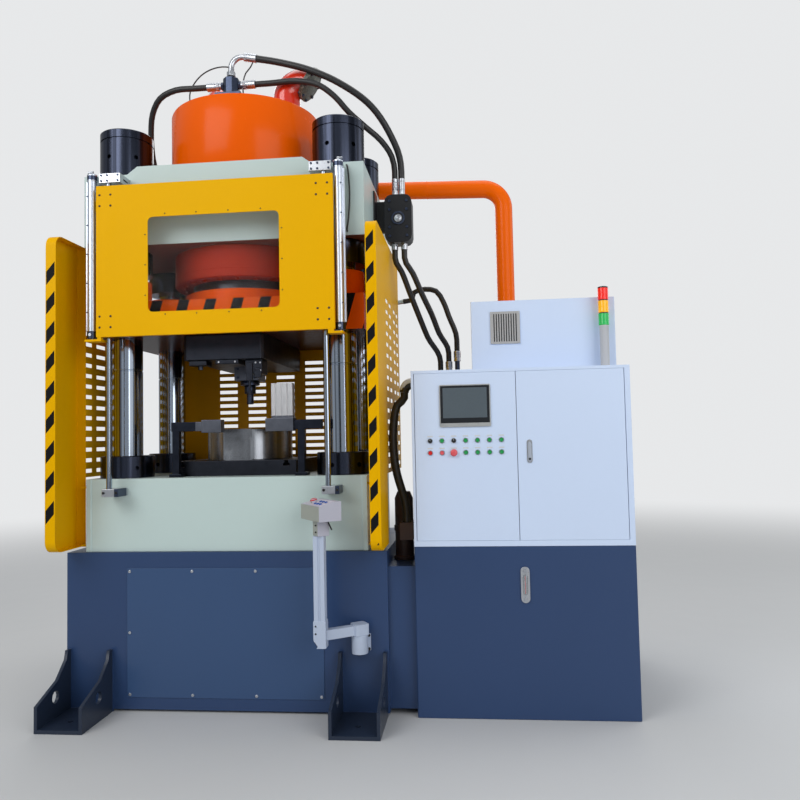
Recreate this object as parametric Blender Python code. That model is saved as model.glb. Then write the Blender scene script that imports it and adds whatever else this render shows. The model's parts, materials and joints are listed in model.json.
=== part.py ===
"""Four-column hydraulic press with its oil tank, power pack and electric cabinet.

Metres, +Z up. The shapes are drawn in a frame whose X is 0 on the press centreline, whose Y is 0 at the
front of the oil tank and whose Z is 0 on the floor. One empty carries them all to the part's origin,
which is the middle of the footprint.
"""
import math

import bmesh
import bpy
from mathutils import Matrix, Vector

# Clearances
seat_gap = 0.0003
running_gap = 0.0006
overrun = 0.01

# Base
floor_gap = 0.0134
plinth_half_width = 0.944
plinth_setback = 0.025
plinth_depth = 1.076
plinth_height = 0.893
cover_half_width = 0.577
cover_height = 0.734
cover_rise = 0.068
cover_sheet = 0.004
cover_corner = 0.006
foot_reach = 0.3445
foot_width = 0.270
foot_inset = 0.0105
foot_plate = 0.020
gusset_sheet = 0.018
gusset_height = 0.354
gusset_nose = 0.140
gusset_crest = 0.040
gusset_hole = 0.034
anchor_hole = 0.017
anchor_hole_share = 0.62
gusset_hole_share = 0.48
gusset_hole_rise_share = 0.95
gusset_crest_share = 0.35
gusset_shoulder_share = 0.86
gusset_waist_share = 0.34
gusset_waist_rise_share = 0.36
link_setback = 0.050
link_bottom = 0.033
link_top = 0.817

# Frame
bed_overhang = 0.166
bed_depth = 1.051
bed_height = 0.4245
bed_cheek = 0.030
bed_face_recess = 0.006
daylight = 1.382
crown_overhang = 0.178
crown_depth = 1.046
crown_height = 0.431
crown_pad_half_width = 0.503
crown_pad_shift = -0.015
crown_pad_height = 0.046
crown_pad_slope = 0.062
hose_port_reach = 0.602
hose_port_forward = 0.063
hose_port_height = 0.080
drain_pipe_radius = 0.016
drain_pipe_rise = 0.047
drain_pipe_inset = 0.086
drain_pipe_bend = 0.038
drain_pipe_length = 0.200
drain_pipe_turn = 108.0

# Columns and nuts
column_pitch_x = 1.340
column_pitch_y = 0.673
column_radius = 0.090
column_foot_inset = 0.020
nut_radius = 0.157
bed_nut_height = 0.132
under_nut_radius = 0.152
under_nut_height = 0.140
top_nut_height = 0.303
nut_groove_rise = 0.243
nut_groove_height = 0.010
nut_groove_depth = 0.005
nut_chamfer = 0.005
nut_seat_margin = 0.003
spanner_hole = 0.0135
spanner_hole_count = 6
spanner_hole_phase = -105.0
spanner_hole_depth = 0.028
spanner_hole_share = 0.44
column_sides = 20

# Main cylinder, ram and slide
cylinder_flange_radius = 0.462
cylinder_flange_drop = 0.193
cylinder_body_radius = 0.430
cylinder_lid = 0.045
ram_radius = 0.350
ram_top_gap = 0.060
round_sides = 36
slide_half_width = 0.830
slide_depth = 0.956
slide_height = 0.210
slide_gap_to_flange = 0.060
hub_radius = 0.400
hub_height = 0.075
bush_radius = 0.146
bush_height = 0.144
die_plate_half_width = 0.246
die_plate_shift = -0.020
die_plate_depth = 0.926
die_plate_height = 0.153
die_plate_chamfer = 0.020
punch_holder_half = 0.080
punch_holder_height = 0.096
punch_collar_radius = 0.062
punch_collar_height = 0.030
punch_nut_radius = 0.036
punch_nut_height = 0.052
punch_radius = 0.022
punch_length = 0.068

# Tooling on the bed
bolster_half_width = 0.386
bolster_depth = 0.702
bolster_height = 0.091
slot_offset = 0.325
slot_width = 0.022
slot_depth = 0.036
slot_foot_width = 0.040
slot_foot_height = 0.014
ring_radius = 0.268
ring_bore = 0.075
ring_height = 0.191
ring_flat_half_width = 0.0925
ring_step_radius = 0.150
ring_step_depth = 0.012
clamp_forward = 0.413
clamp_half_depth = 0.022
clamp_arm_height = 0.055
clamp_jaw_height = 0.076
clamp_level = 0.299
clamp_post_half_width = 0.020
clamp_foot_half_width = 0.036
clamp_foot_height = 0.018
left_jaw_from = -0.163
left_jaw_to = -0.043
left_arm_end = -0.352
left_post_place = -0.326
right_jaw_from = 0.226
right_jaw_to = 0.396
right_arm_end = 0.561
right_post_place = 0.436
actuator_from = 0.262
actuator_to = 0.390
actuator_height = 0.207
actuator_groove = 0.012

# Prefill tank and head fittings
tank_drum_radius = 0.480
tank_drum_height = 0.438
drum_edge = 0.012
bend_radius = 0.100
bend_pipe_radius = 0.084
bend_rise = 0.080
right_bend_angle = 128.0
left_bend_angle = 90.0
bend_flange_radius = 0.108
bend_flange_sheet = 0.026
right_bend_offset = 0.312
right_bend_forward = 0.163
left_bend_offset = -0.214
left_bend_back = 0.037
head_offset = -0.0154
head_forward = 0.273
head_base_half_width = 0.083
head_base_height = 0.0664
head_block_half_width = 0.0478
head_block_height = 0.1132
elbow_radius = 0.0185
elbow_rise = 0.0703
elbow_bend = 0.0703
ferrule_radius = 0.0264
ferrule_length = 0.081
side_port_drop = 0.041
elbow_collar_share = 1.5
elbow_collar_rise_share = 0.4

# Guard door, its guides and lift cylinders
door_half_width = 0.694
door_height = 0.878
door_front = -0.112
door_edge = 0.025
door_sheet = 0.003
door_raise = 0.819
window_half_width = 0.384
window_height = 0.548
window_rise = 0.134
window_corner = 0.028
pane_margin = 0.022
pane_sheet = 0.005
rod_offset = 0.638
guide_shift = -0.005
rod_front = -0.060
rod_radius = 0.016
rod_foot_drop = 0.081
rod_top_rise = 0.056
rod_block_inner = 0.080
rod_block_outer = 0.048
rod_block_height = 0.056
rod_block_depth = 0.025
rod_clamp_height = 0.045
rod_clamp_left = 0.034
rod_clamp_right = 0.066
carriage_half = 0.035
carriage_inset = 0.085
carriage_back_share = 1.6
lift_offset = 0.731
lift_shift = -0.013
lift_radius = 0.029
lift_wall = 0.004
lift_end_cap = 0.015
lift_top_rise = 0.087
lift_rod_radius = 0.010
lift_piston_height = 0.030
lift_rod_length = 0.880
lift_bracket_half = 0.018
lift_bracket_height = 0.030
lift_bracket_inset = 0.001
lug_sheet = 0.012
lug_drop = 0.024
lug_clearance = 0.006
lug_overhang = 0.021

# Side and rear guards
guard_clearance = 0.036
guard_strip_width = 0.060
guard_front = -0.205
guard_post_depth = 0.330
guard_sheet = 0.003
guard_rise = 0.0276
guard_top_rise = 0.019
guard_corner = 0.065
guard_panel_rear = 0.915
guard_panel_lift = 0.004
guard_bracket_sheet = 0.012
guard_bracket_width = 0.055
slot_rows = 16
slot_row_pitch = 0.0655
slot_row_first = 0.043
slot_length = 0.112
slot_height = 0.024
slot_first_column = 0.121
slot_column_pitch = 0.167
slot_pair_pitch = 0.400
rear_guard_forward = 0.018
rear_slot_rows = 14
rear_slot_pitch = 0.049
rear_slot_first = 0.120
rear_slot_columns = 4
rear_slot_column_pitch = 0.210
rear_slot_length = 0.130

# Oil tank, power pack and pipework
oil_tank_left = 1.0994
oil_tank_width = 1.200
oil_tank_depth = 1.350
oil_tank_height = 0.932
tank_corner = 0.006
gauge_place = 0.6036
gauge_half_width = 0.025
gauge_bottom = 0.626
gauge_height = 0.196
gauge_depth = 0.022
gauge_glass_half_width = 0.013
gauge_glass_margin = 0.042
gauge_glass_depth = 0.010
motor_radius = 0.125
motor_from = 0.730
motor_length = 0.390
motor_rear_space = 0.350
motor_lift = 0.030
motor_foot_half = 0.100
pump_radius = 0.075
pump_length = 0.160
motor_box_half = 0.055
motor_box_height = 0.070
manifold_from = 0.070
manifold_width = 0.230
manifold_setback = 0.040
manifold_depth = 0.200
manifold_height = 0.300
riser_radius = 0.017
riser_nut_radius = 0.024
riser_nut_height = 0.045
riser_a_height = 1.050
riser_b_height = 1.120
riser_c_height = 1.190
riser_a_share = 0.25
riser_b_share = 0.50
riser_c_share = 0.75
transfer_pump_place = 1.015
transfer_pump_back = 0.320
transfer_pump_radius = 0.055
transfer_pump_height = 0.400
transfer_pump_foot = 0.066
transfer_band = 0.006
transfer_step_shares = (0.05, 0.42, 0.50, 0.90)
transfer_top_share = 0.70
trunk_box_half_width = 0.040
trunk_box_front = 0.160
trunk_box_base = 0.130
trunk_box_height = 0.100
pipe_radius = 0.062
pipe_bend = 0.125
pipe_far_bend = 0.150
pipe_behind_crown = 0.090
pipe_level = 0.225
pipe_fall = 0.050
pipe_down_place = 0.596
pipe_flange_radius = 0.095
pipe_flange_sheet = 0.022
pipe_sides = 16

# Valve block beside the crown
block_clearance = 0.070
block_width = 0.172
block_drop = 0.425
block_height = 0.306
block_corner = 0.045
block_front = 0.440
block_depth = 0.120
block_ring_radius = 0.042
block_ring_depth = 0.008
block_ring_bore_share = 0.6
block_plate_sheet = 0.010
block_plate_top = 0.030
block_arm_sheet = 0.030
block_port_spread = 0.021
block_lower_port_spread = 0.030
block_port_radius = 0.015
block_port_height = 0.115
block_port_below = 0.036

# Electric cabinet
cabinet_depth = 0.800
cabinet_height = 0.979
cabinet_wall = 0.003
cabinet_frame = 0.020
cabinet_left_border = 0.015
cabinet_right_border = 0.030
cabinet_top_border = 0.017
cabinet_bottom_border = 0.031
cabinet_door_split = 0.582
cabinet_door_sheet = 0.0025
cabinet_door_edge = 0.018
cabinet_door_gap = 0.003
cabinet_door_rub = 0.0008
hinge_inset = 0.006
gland_radius = 0.027
gland_length = 0.012
gland_bend = 0.045
gland_back = 0.200
gland_drop = 0.050
screen_left = 0.1576
screen_width = 0.284
screen_bottom = 0.659
screen_height = 0.236
screen_bezel = 0.008
screen_body_margin = 0.013
screen_body_depth = 0.045
control_first = 0.1016
control_pitch = 0.0657
control_upper_row = 0.584
control_lower_row = 0.517
control_columns = 7
bezel_radius = 0.0150
bezel_height = 0.004
stem_radius = 0.0108
stem_depth = 0.018
cap_height = 0.011
knob_bar_half_width = 0.0045
knob_bar_height = 0.008
knob_bar_share = 0.8
mushroom_radius = 0.020
mushroom_height = 0.014
mushroom_lift = 0.007
mushroom_rim_share = 0.6
mushroom_top_share = 0.7
control_sides = 12
latch_place = 0.648
latch_bottom = 0.453
latch_height = 0.129
latch_half_width = 0.016
latch_rim = 0.004
latch_lever_half_width = 0.0105
latch_lever_sheet = 0.009
panel_setback = 0.097
panel_margin = 0.060
panel_sheet = 0.003
panel_stud = 0.008
panel_rows = 3
panel_devices = 8
device_depth = 0.070
device_height = 0.110
device_fill_share = 0.80
device_shallow_share = 0.7
upper_left = 0.3436
upper_width = 0.844
upper_setback = 0.300
upper_depth = 0.480
upper_height = 0.431
upper_corner = 0.006
vent_left = 0.116
vent_width = 0.173
vent_bottom = 0.172
vent_height = 0.192
vent_frame = 0.014
vent_proud = 0.005
vent_slots = 9
vent_slot_share = 0.45
vent_slot_depth = 0.012
tower_place = 1.112
tower_back = 0.240
tower_radius = 0.030
tower_pole_radius = 0.026
tower_base_height = 0.253
tower_lens_height = 0.0685
tower_joint_height = 0.006
tower_cap_height = 0.010
tower_sides = 16

# Operator's pendant
pendant_axis_x = 0.790
pendant_axis_y = -0.032
pendant_plate_half_width = 0.054
pendant_plate_bottom = 0.360
pendant_plate_height = 0.092
pendant_plate_sheet = 0.010
pendant_boss_radius = 0.045
pendant_boss_height = 0.100
pendant_web_share = 0.9
knuckle_half = 0.042
knuckle_height = 0.060
pendant_reach_x = -0.190
pendant_reach_y = -0.133
arm_half_width = 0.024
arm_height = 0.052
arm_lift = 0.002
post_half_width = 0.030
post_groove = 0.005
post_groove_half_width = 0.006
elbow_block_half = 0.034
elbow_block_drop = 0.035
elbow_block_height = 0.144
elbow_block_cut_angle = 40.0
post_length = 0.450
neck_half_width = 0.034
neck_height = 0.086
console_length = 0.260
console_width = 0.128
console_shift = 0.010
console_low = 0.080
console_high = 0.103
console_turn = 34.3
console_stop_radius = 0.019
console_stop_height = 0.020
console_button_radius = 0.008
console_button_height = 0.006
console_button_pitch = 0.036
console_buttons = 3
console_flat_share = 0.4
console_pad_share = 0.3
console_stop_share = 0.35
console_button_share = 0.25
console_first_button_share = 0.1

# Hoses
main_hose_radius = 0.0210
hose_radius = 0.0185
trunk_hose_radius = 0.0240
hose_point_spacing = 0.046

# Places that follow from the sizes
press_middle_y = plinth_setback + plinth_depth / 2
bed_half_width = column_pitch_x / 2 + bed_overhang
crown_half_width = column_pitch_x / 2 + crown_overhang
plinth_top = floor_gap + plinth_height
guard_bottom = plinth_top + guard_rise
guard_outer = crown_half_width + guard_clearance + guard_strip_width
bed_bottom = plinth_top + seat_gap
bed_top = bed_bottom + bed_height
bed_front = press_middle_y - bed_depth / 2
crown_bottom = bed_top + daylight
crown_side_top = crown_bottom + crown_height
crown_pad_top = crown_side_top + crown_pad_height
crown_front = press_middle_y - crown_depth / 2
crown_rear = press_middle_y + crown_depth / 2
flange_bottom = crown_bottom - cylinder_flange_drop
hub_top = flange_bottom - slide_gap_to_flange
slide_top = hub_top - hub_height
slide_bottom = slide_top - slide_height
die_plate_bottom = slide_bottom - die_plate_height
bolster_top = bed_top + bolster_height
drum_bottom = crown_pad_top + seat_gap
drum_top = drum_bottom + tank_drum_height
door_bottom = bed_top + door_raise
door_top = door_bottom + door_height
oil_tank_right = oil_tank_left + oil_tank_width
cabinet_bottom = oil_tank_height + seat_gap
cabinet_top = cabinet_bottom + cabinet_height
overall_middle_x = (oil_tank_right - plinth_half_width) / 2
overall_middle_y = press_middle_y
running_radius = column_radius + running_gap
ram_bore_radius = ram_radius + running_gap
block_top = crown_side_top + crown_pad_height - block_drop + block_height
block_bottom = block_top - block_height
block_left = crown_half_width + block_clearance
block_right = block_left + block_width
block_middle_x = (block_left + block_right) / 2
block_middle_y = block_front + block_depth / 2


def clear_scene():
    for old in list(bpy.data.objects):
        bpy.data.objects.remove(old, do_unlink=True)


def finish(name, colour, roughness, metallic=0.0):
    made = bpy.data.materials.new(name)
    made.use_nodes = True
    shader = made.node_tree.nodes["Principled BSDF"]
    shader.inputs["Base Color"].default_value = (*colour, 1.0)
    shader.inputs["Roughness"].default_value = roughness
    shader.inputs["Metallic"].default_value = metallic
    made.diffuse_color = (*colour, 1.0)
    return made


def empty_at(name, place, parent=None):
    """A carrier: an empty on a joint's axis, or at the part's origin."""
    marker = bpy.data.objects.new(name, None)
    bpy.context.collection.objects.link(marker)
    if parent is not None:
        marker.parent = parent
        marker["at"] = place
        marker.location = Vector(place) - Vector(parent.get("at", (0, 0, 0)))
    else:
        marker.location = place
    return marker


def piece(name, form, look, place=(0, 0, 0), carrier=None, smooth=True):
    """Turns a finished form into the named object, with its own origin at place."""
    carrier = carrier or part_origin
    bmesh.ops.translate(form, verts=form.verts, vec=-Vector(place))
    mesh = bpy.data.meshes.new(name)
    form.to_mesh(mesh)
    form.free()
    made = bpy.data.objects.new(name, mesh)
    bpy.context.collection.objects.link(made)
    made.parent = carrier
    made.location = Vector(place) - Vector(carrier.get("at", (0, 0, 0)))
    mesh.materials.append(look)
    if smooth:
        mesh.shade_smooth()
        mesh.set_sharp_from_angle(angle=math.radians(35))
    return made


def box(x, y, z):
    """A block between the given pairs of limits."""
    form = bmesh.new()
    bmesh.ops.create_cube(form, size=1.0)
    size = [abs(limits[1] - limits[0]) for limits in (x, y, z)]
    middle = [(limits[1] + limits[0]) / 2 for limits in (x, y, z)]
    bmesh.ops.scale(form, verts=form.verts, vec=size)
    bmesh.ops.translate(form, verts=form.verts, vec=middle)
    return form


def prism(outline, across, start, end):
    """An outline pushed along an axis. Across names that axis; the outline holds the other two."""
    order = {"X": (1, 2, 0), "Y": (0, 2, 1), "Z": (0, 1, 2)}[across]
    form = bmesh.new()
    corners = []
    for first, second in outline:
        spot = [0.0, 0.0, 0.0]
        spot[order[0]] = first
        spot[order[1]] = second
        spot[order[2]] = start
        corners.append(form.verts.new(spot))
    face = form.faces.new(corners)
    grown = bmesh.ops.extrude_face_region(form, geom=[face])
    push = [0.0, 0.0, 0.0]
    push[order[2]] = end - start
    new_points = [item for item in grown["geom"] if isinstance(item, bmesh.types.BMVert)]
    bmesh.ops.translate(form, verts=new_points, vec=push)
    bmesh.ops.recalc_face_normals(form, faces=form.faces)
    return form


def turned(profile, sides, centre, direction="Z"):
    """A profile of radius and height pairs spun about a line through the centre."""
    form = bmesh.new()
    points = [form.verts.new((radius, 0.0, height)) for radius, height in profile]
    edges = [form.edges.new(pair) for pair in zip(points, points[1:])]
    if profile[0][0] > 0 or profile[-1][0] > 0:
        edges.append(form.edges.new((points[-1], points[0])))
    bmesh.ops.spin(form, geom=points + edges, cent=(0, 0, 0), axis=(0, 0, 1), dvec=(0, 0, 0),
                   angle=2 * math.pi, steps=sides, use_merge=True)
    bmesh.ops.remove_doubles(form, verts=form.verts, dist=1e-6)
    turn = {"Z": Matrix.Identity(3), "X": Matrix.Rotation(math.pi / 2, 3, "Y"),
            "-Y": Matrix.Rotation(math.pi / 2, 3, "X")}[direction]
    bmesh.ops.rotate(form, verts=form.verts, cent=(0, 0, 0), matrix=turn)
    bmesh.ops.translate(form, verts=form.verts, vec=centre)
    bmesh.ops.recalc_face_normals(form, faces=form.faces)
    return form


def disc(radius, low, high, sides, centre, direction="Z"):
    return turned([(0, low), (radius, low), (radius, high), (0, high)], sides, centre, direction)


def rounded_outline(low, high, corner, steps=3, corners=(True, True, True, True)):
    """A rectangle from its low to its high corner, with some corners rounded, starting low left."""
    (x0, y0), (x1, y1) = low, high
    centres = [(x0 + corner, y0 + corner, 180), (x1 - corner, y0 + corner, 270),
               (x1 - corner, y1 - corner, 0), (x0 + corner, y1 - corner, 90)]
    sharp = [(x0, y0), (x1, y0), (x1, y1), (x0, y1)]
    outline = []
    for keep, (cx, cy, start), point in zip(corners, centres, sharp):
        if not keep:
            outline.append(point)
            continue
        for step in range(steps + 1):
            angle = math.radians(start + 90 * step / steps)
            outline.append((cx + corner * math.cos(angle), cy + corner * math.sin(angle)))
    return outline


def slot_outline(centre, half_length, half_height):
    """A slot about its centre, long in its first direction."""
    cx, cy = centre
    return [(cx - half_length, cy - half_height), (cx + half_length, cy - half_height),
            (cx + half_length, cy + half_height), (cx - half_length, cy + half_height)]


def merged(forms):
    """Several separate forms in one mesh, to be used as one cutter."""
    total = bmesh.new()
    for form in forms:
        holder = bpy.data.meshes.new("cutter")
        form.to_mesh(holder)
        form.free()
        total.from_mesh(holder)
        bpy.data.meshes.remove(holder)
    return total


def combine(target, tool, operation):
    """One exact Boolean step, with its result read back as a form."""
    meshes = [bpy.data.meshes.new("target"), bpy.data.meshes.new("tool")]
    target.to_mesh(meshes[0])
    tool.to_mesh(meshes[1])
    target.free()
    tool.free()
    bodies = [bpy.data.objects.new(mesh.name, mesh) for mesh in meshes]
    for body in bodies:
        bpy.context.collection.objects.link(body)
    step = bodies[0].modifiers.new("step", "BOOLEAN")
    step.operation = operation
    step.solver = "EXACT"
    step.object = bodies[1]
    graph = bpy.context.evaluated_depsgraph_get()
    result = bmesh.new()
    result.from_object(bodies[0], graph)
    for body, mesh in zip(bodies, meshes):
        bpy.data.objects.remove(body, do_unlink=True)
        bpy.data.meshes.remove(mesh)
    bmesh.ops.dissolve_limit(result, angle_limit=math.radians(0.05), verts=result.verts, edges=result.edges)
    return result


def cut(target, *tools):
    return combine(target, merged(tools), "DIFFERENCE")


def fuse(target, *tools):
    for tool in tools:
        target = combine(target, tool, "UNION")
    return target


def smooth_route(points, spacing):
    """Straight first and last runs, with a smooth curve through the points between them."""
    knots = [Vector(point) for point in points]
    slopes = [(knots[1] - knots[0]).normalized()] * 2
    for last, knot, following in zip(knots[1:], knots[2:-2], knots[3:]):
        before, after = knot - last, following - knot
        blend = before.normalized() * after.length + after.normalized() * before.length
        slopes.append(blend / (before.length + after.length))
    slopes += [(knots[-1] - knots[-2]).normalized()] * 2
    route = [knots[0], knots[1]]
    for start, end, leave, arrive in zip(knots[1:], knots[2:-1], slopes[1:], slopes[2:]):
        length = (end - start).length
        count = max(2, round(length / spacing))
        for step in range(1, count + 1):
            t = step / count
            spot = start * (2 * t ** 3 - 3 * t ** 2 + 1) + end * (3 * t ** 2 - 2 * t ** 3)
            spot += (leave * (t ** 3 - 2 * t ** 2 + t) + arrive * (t ** 3 - t ** 2)) * length
            route.append(spot)
    return route + [knots[-1]]


def hose(name, points, radius, look):
    """A flexible hose as a round bevelled curve with closed ends."""
    curve = bpy.data.curves.new(name, "CURVE")
    curve.dimensions = "3D"
    curve.bevel_depth = radius
    curve.bevel_resolution = 2
    curve.use_fill_caps = True
    route = smooth_route(points, hose_point_spacing)
    spline = curve.splines.new("POLY")
    spline.points.add(len(route) - 1)
    for spot, place in zip(spline.points, route):
        spot.co = (*place, 1.0)
    made = bpy.data.objects.new(name, curve)
    bpy.context.collection.objects.link(made)
    made.parent = part_origin
    curve.materials.append(look)
    return made


def swept(points, radius, sides):
    """A round bar along a list of points, closed at both ends."""
    form = bmesh.new()
    places = [Vector(point) for point in points]
    first_run = (places[1] - places[0]).normalized()
    side = Vector((0, 1, 0)) if abs(first_run.y) < 0.5 else Vector((0, 0, 1))
    rings = []
    for index, place in enumerate(places):
        ahead = places[min(index + 1, len(places) - 1)]
        behind = places[max(index - 1, 0)]
        along = (ahead - behind).normalized()
        side = (side - along * side.dot(along)).normalized()
        up = along.cross(side)
        ring = []
        for step in range(sides):
            angle = 2 * math.pi * step / sides
            ring.append(form.verts.new(place + radius * (math.cos(angle) * side + math.sin(angle) * up)))
        rings.append(ring)
    for first, second in zip(rings, rings[1:]):
        for step in range(sides):
            after = (step + 1) % sides
            form.faces.new((first[step], first[after], second[after], second[step]))
    form.faces.new(rings[0])
    form.faces.new(rings[-1])
    bmesh.ops.recalc_face_normals(form, faces=form.faces)
    return form


def arc_points(centre, start, end, angle, steps):
    """Points on a bend that leaves start's direction for end's, both unit vectors, about a centre."""
    middle, first, second = Vector(centre), Vector(start), Vector(end)
    total = math.radians(angle)
    return [middle + first * math.cos(total * step / steps) + second * math.sin(total * step / steps)
            for step in range(steps + 1)]


def column_places():
    half = column_pitch_y / 2
    for row, y in (("front", press_middle_y - half), ("rear", press_middle_y + half)):
        for side, x in (("left", -column_pitch_x / 2), ("right", column_pitch_x / 2)):
            yield f"{row}_{side}", x, y


def column_bores(radius, low, high):
    return [disc(radius, low - overrun, high + overrun, column_sides, (x, y, 0))
            for _, x, y in column_places()]


def foot_forms(side, rear):
    """One anchor foot: a base plate and two pierced gussets, welded to the plinth."""
    outer = side * (plinth_half_width - foot_inset)
    inner = outer - side * foot_width
    face = plinth_setback + (plinth_depth if rear else 0)
    away = 1 if rear else -1
    tip = face + away * foot_reach
    root = face - away * overrun
    low_x, high_x = sorted((outer, inner))
    plate = box((low_x, high_x), sorted((tip, root)), (0, foot_plate))
    hole_y = face + away * foot_reach * anchor_hole_share
    bore = disc(anchor_hole, -overrun, foot_plate + overrun, 10, ((low_x + high_x) / 2, hole_y, 0))
    plate = cut(plate, bore)
    crest = face + away * gusset_crest
    waist = face + away * (gusset_crest + (foot_reach - gusset_crest) * gusset_waist_share)
    outline = [(tip, 0), (root, 0), (root, gusset_height), (crest, gusset_height),
               (crest + away * gusset_crest * gusset_crest_share, gusset_height * gusset_shoulder_share),
               (waist, gusset_nose + (gusset_height - gusset_nose) * gusset_waist_rise_share),
               (tip, gusset_nose)]
    forms = [plate]
    for edge in (low_x, high_x - gusset_sheet):
        web = prism(outline, "X", edge, edge + gusset_sheet)
        bore_y = face + away * foot_reach * gusset_hole_share
        bore = disc(gusset_hole, edge - overrun, edge + gusset_sheet + overrun, 12,
                    (0, bore_y, gusset_nose * gusset_hole_rise_share), "X")
        forms.append(cut(web, bore))
    return forms


def build_base():
    body = box((-plinth_half_width, plinth_half_width), (plinth_setback, plinth_setback + plinth_depth),
               (floor_gap, plinth_top))
    trunk = box((plinth_half_width - overrun, oil_tank_left - seat_gap),
                (link_setback, plinth_setback + plinth_depth - link_setback), (link_bottom, link_top))
    feet = []
    for side in (-1, 1):
        for rear in (False, True):
            feet.extend(foot_forms(side, rear))
    piece("plinth", fuse(body, trunk, *feet), slate, smooth=False)
    back = plinth_setback - seat_gap
    outline = rounded_outline((-cover_half_width, floor_gap + cover_rise),
                              (cover_half_width, floor_gap + cover_rise + cover_height), cover_corner, 2)
    piece("plinth_cover", prism(outline, "Y", back - cover_sheet, back), slate_cover, (0, back, floor_gap))


def build_bed():
    rear = bed_front + bed_depth
    body = box((-bed_half_width, bed_half_width), (bed_front, rear), (bed_bottom, bed_top))
    inner = bed_half_width - bed_cheek
    faces = [box((-inner, inner), (bed_front - overrun, bed_front + bed_face_recess),
                 (bed_bottom - overrun, bed_top + overrun)),
             box((-inner, inner), (rear - bed_face_recess, rear + overrun),
                 (bed_bottom - overrun, bed_top + overrun))]
    bores = column_bores(column_radius + seat_gap, bed_bottom, bed_top)
    piece("bed", cut(body, *faces, *bores), frame_green, (0, press_middle_y, bed_bottom), smooth=False)


def build_crown():
    slope_end = crown_pad_half_width + crown_pad_slope
    pad_left, pad_right = crown_pad_shift - crown_pad_half_width, crown_pad_shift + crown_pad_half_width
    outline = [(crown_half_width, crown_bottom), (crown_half_width, crown_side_top),
               (crown_pad_shift + slope_end, crown_side_top), (pad_right, crown_pad_top),
               (pad_left, crown_pad_top), (crown_pad_shift - slope_end, crown_side_top),
               (-crown_half_width, crown_side_top), (-crown_half_width, crown_bottom)]
    body = prism(outline, "Y", crown_front, crown_rear)
    bores = column_bores(column_radius + seat_gap, crown_bottom, crown_side_top)
    centre = disc(cylinder_body_radius + seat_gap, crown_bottom - overrun, crown_pad_top + overrun,
                  round_sides, (0, press_middle_y, 0))
    seats = [disc(nut_radius + nut_seat_margin, crown_side_top, crown_pad_top + overrun, column_sides,
                  (x, y, 0)) for _, x, y in column_places()]
    body = cut(cut(body, centre, *bores), *seats)
    port = disc(hose_port_height / 3, crown_side_top - overrun, crown_side_top + hose_port_height, 10,
                (-hose_port_reach, press_middle_y - hose_port_forward, 0))
    bend = drain_pipe_bend
    level = crown_bottom + drain_pipe_rise
    y = crown_rear - drain_pipe_inset
    path = [Vector((crown_half_width - overrun, y, level))]
    path += arc_points((crown_half_width, y, level - bend), (0, 0, bend), (bend, 0, 0), 90, 4)
    low = level - bend - drain_pipe_length
    path += arc_points((crown_half_width + 2 * bend, y, low), (-bend, 0, 0), (0, 0, -bend), drain_pipe_turn, 5)
    run = (path[-1] - path[-2]).normalized()
    path.append(path[-1] + run * bend)
    drain = swept(path, drain_pipe_radius, 8)
    piece("crown", fuse(body, port, drain), frame_green, (0, press_middle_y, crown_bottom), smooth=False)
    return path[-1], run


def spanner_holes(x, y, level):
    holes = []
    for step in range(spanner_hole_count):
        hole = disc(spanner_hole, nut_radius - spanner_hole_depth, nut_radius + overrun, 6, (0, 0, 0), "X")
        turn = math.radians(spanner_hole_phase + 360 * step / spanner_hole_count)
        bmesh.ops.rotate(hole, verts=hole.verts, cent=(0, 0, 0), matrix=Matrix.Rotation(turn, 3, "Z"))
        bmesh.ops.translate(hole, verts=hole.verts, vec=(x, y, level))
        holes.append(hole)
    return holes


def build_columns():
    """Each tie column is one turning with its bed nut, under-crown nut and tall top nut drawn up on it."""
    bed_nut_bottom = bed_top + seat_gap
    bed_nut_top = bed_nut_bottom + bed_nut_height
    under_top = crown_bottom - seat_gap
    under_bottom = under_top - under_nut_height
    top_bottom = crown_side_top + seat_gap
    top_top = top_bottom + top_nut_height
    groove = top_bottom + nut_groove_rise
    profile = [(0, bed_bottom + column_foot_inset), (column_radius, bed_bottom + column_foot_inset),
               (column_radius, bed_nut_bottom), (nut_radius, bed_nut_bottom),
               (nut_radius, bed_nut_top - nut_chamfer), (nut_radius - nut_chamfer, bed_nut_top),
               (column_radius, bed_nut_top), (column_radius, under_bottom), (under_nut_radius, under_bottom),
               (under_nut_radius, under_top), (column_radius, under_top), (column_radius, top_bottom),
               (nut_radius, top_bottom), (nut_radius, groove), (nut_radius - nut_groove_depth, groove),
               (nut_radius - nut_groove_depth, groove + nut_groove_height),
               (nut_radius, groove + nut_groove_height), (nut_radius, top_top - nut_chamfer),
               (nut_radius - nut_chamfer, top_top), (0, top_top)]
    for name, x, y in column_places():
        bar = turned(profile, column_sides, (x, y, 0))
        holes = spanner_holes(x, y, bed_nut_bottom + bed_nut_height * spanner_hole_share)
        holes += spanner_holes(x, y, top_bottom + top_nut_height * spanner_hole_share)
        piece(f"column_{name}", cut(bar, *holes), chrome, (x, y, bed_bottom))


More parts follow.
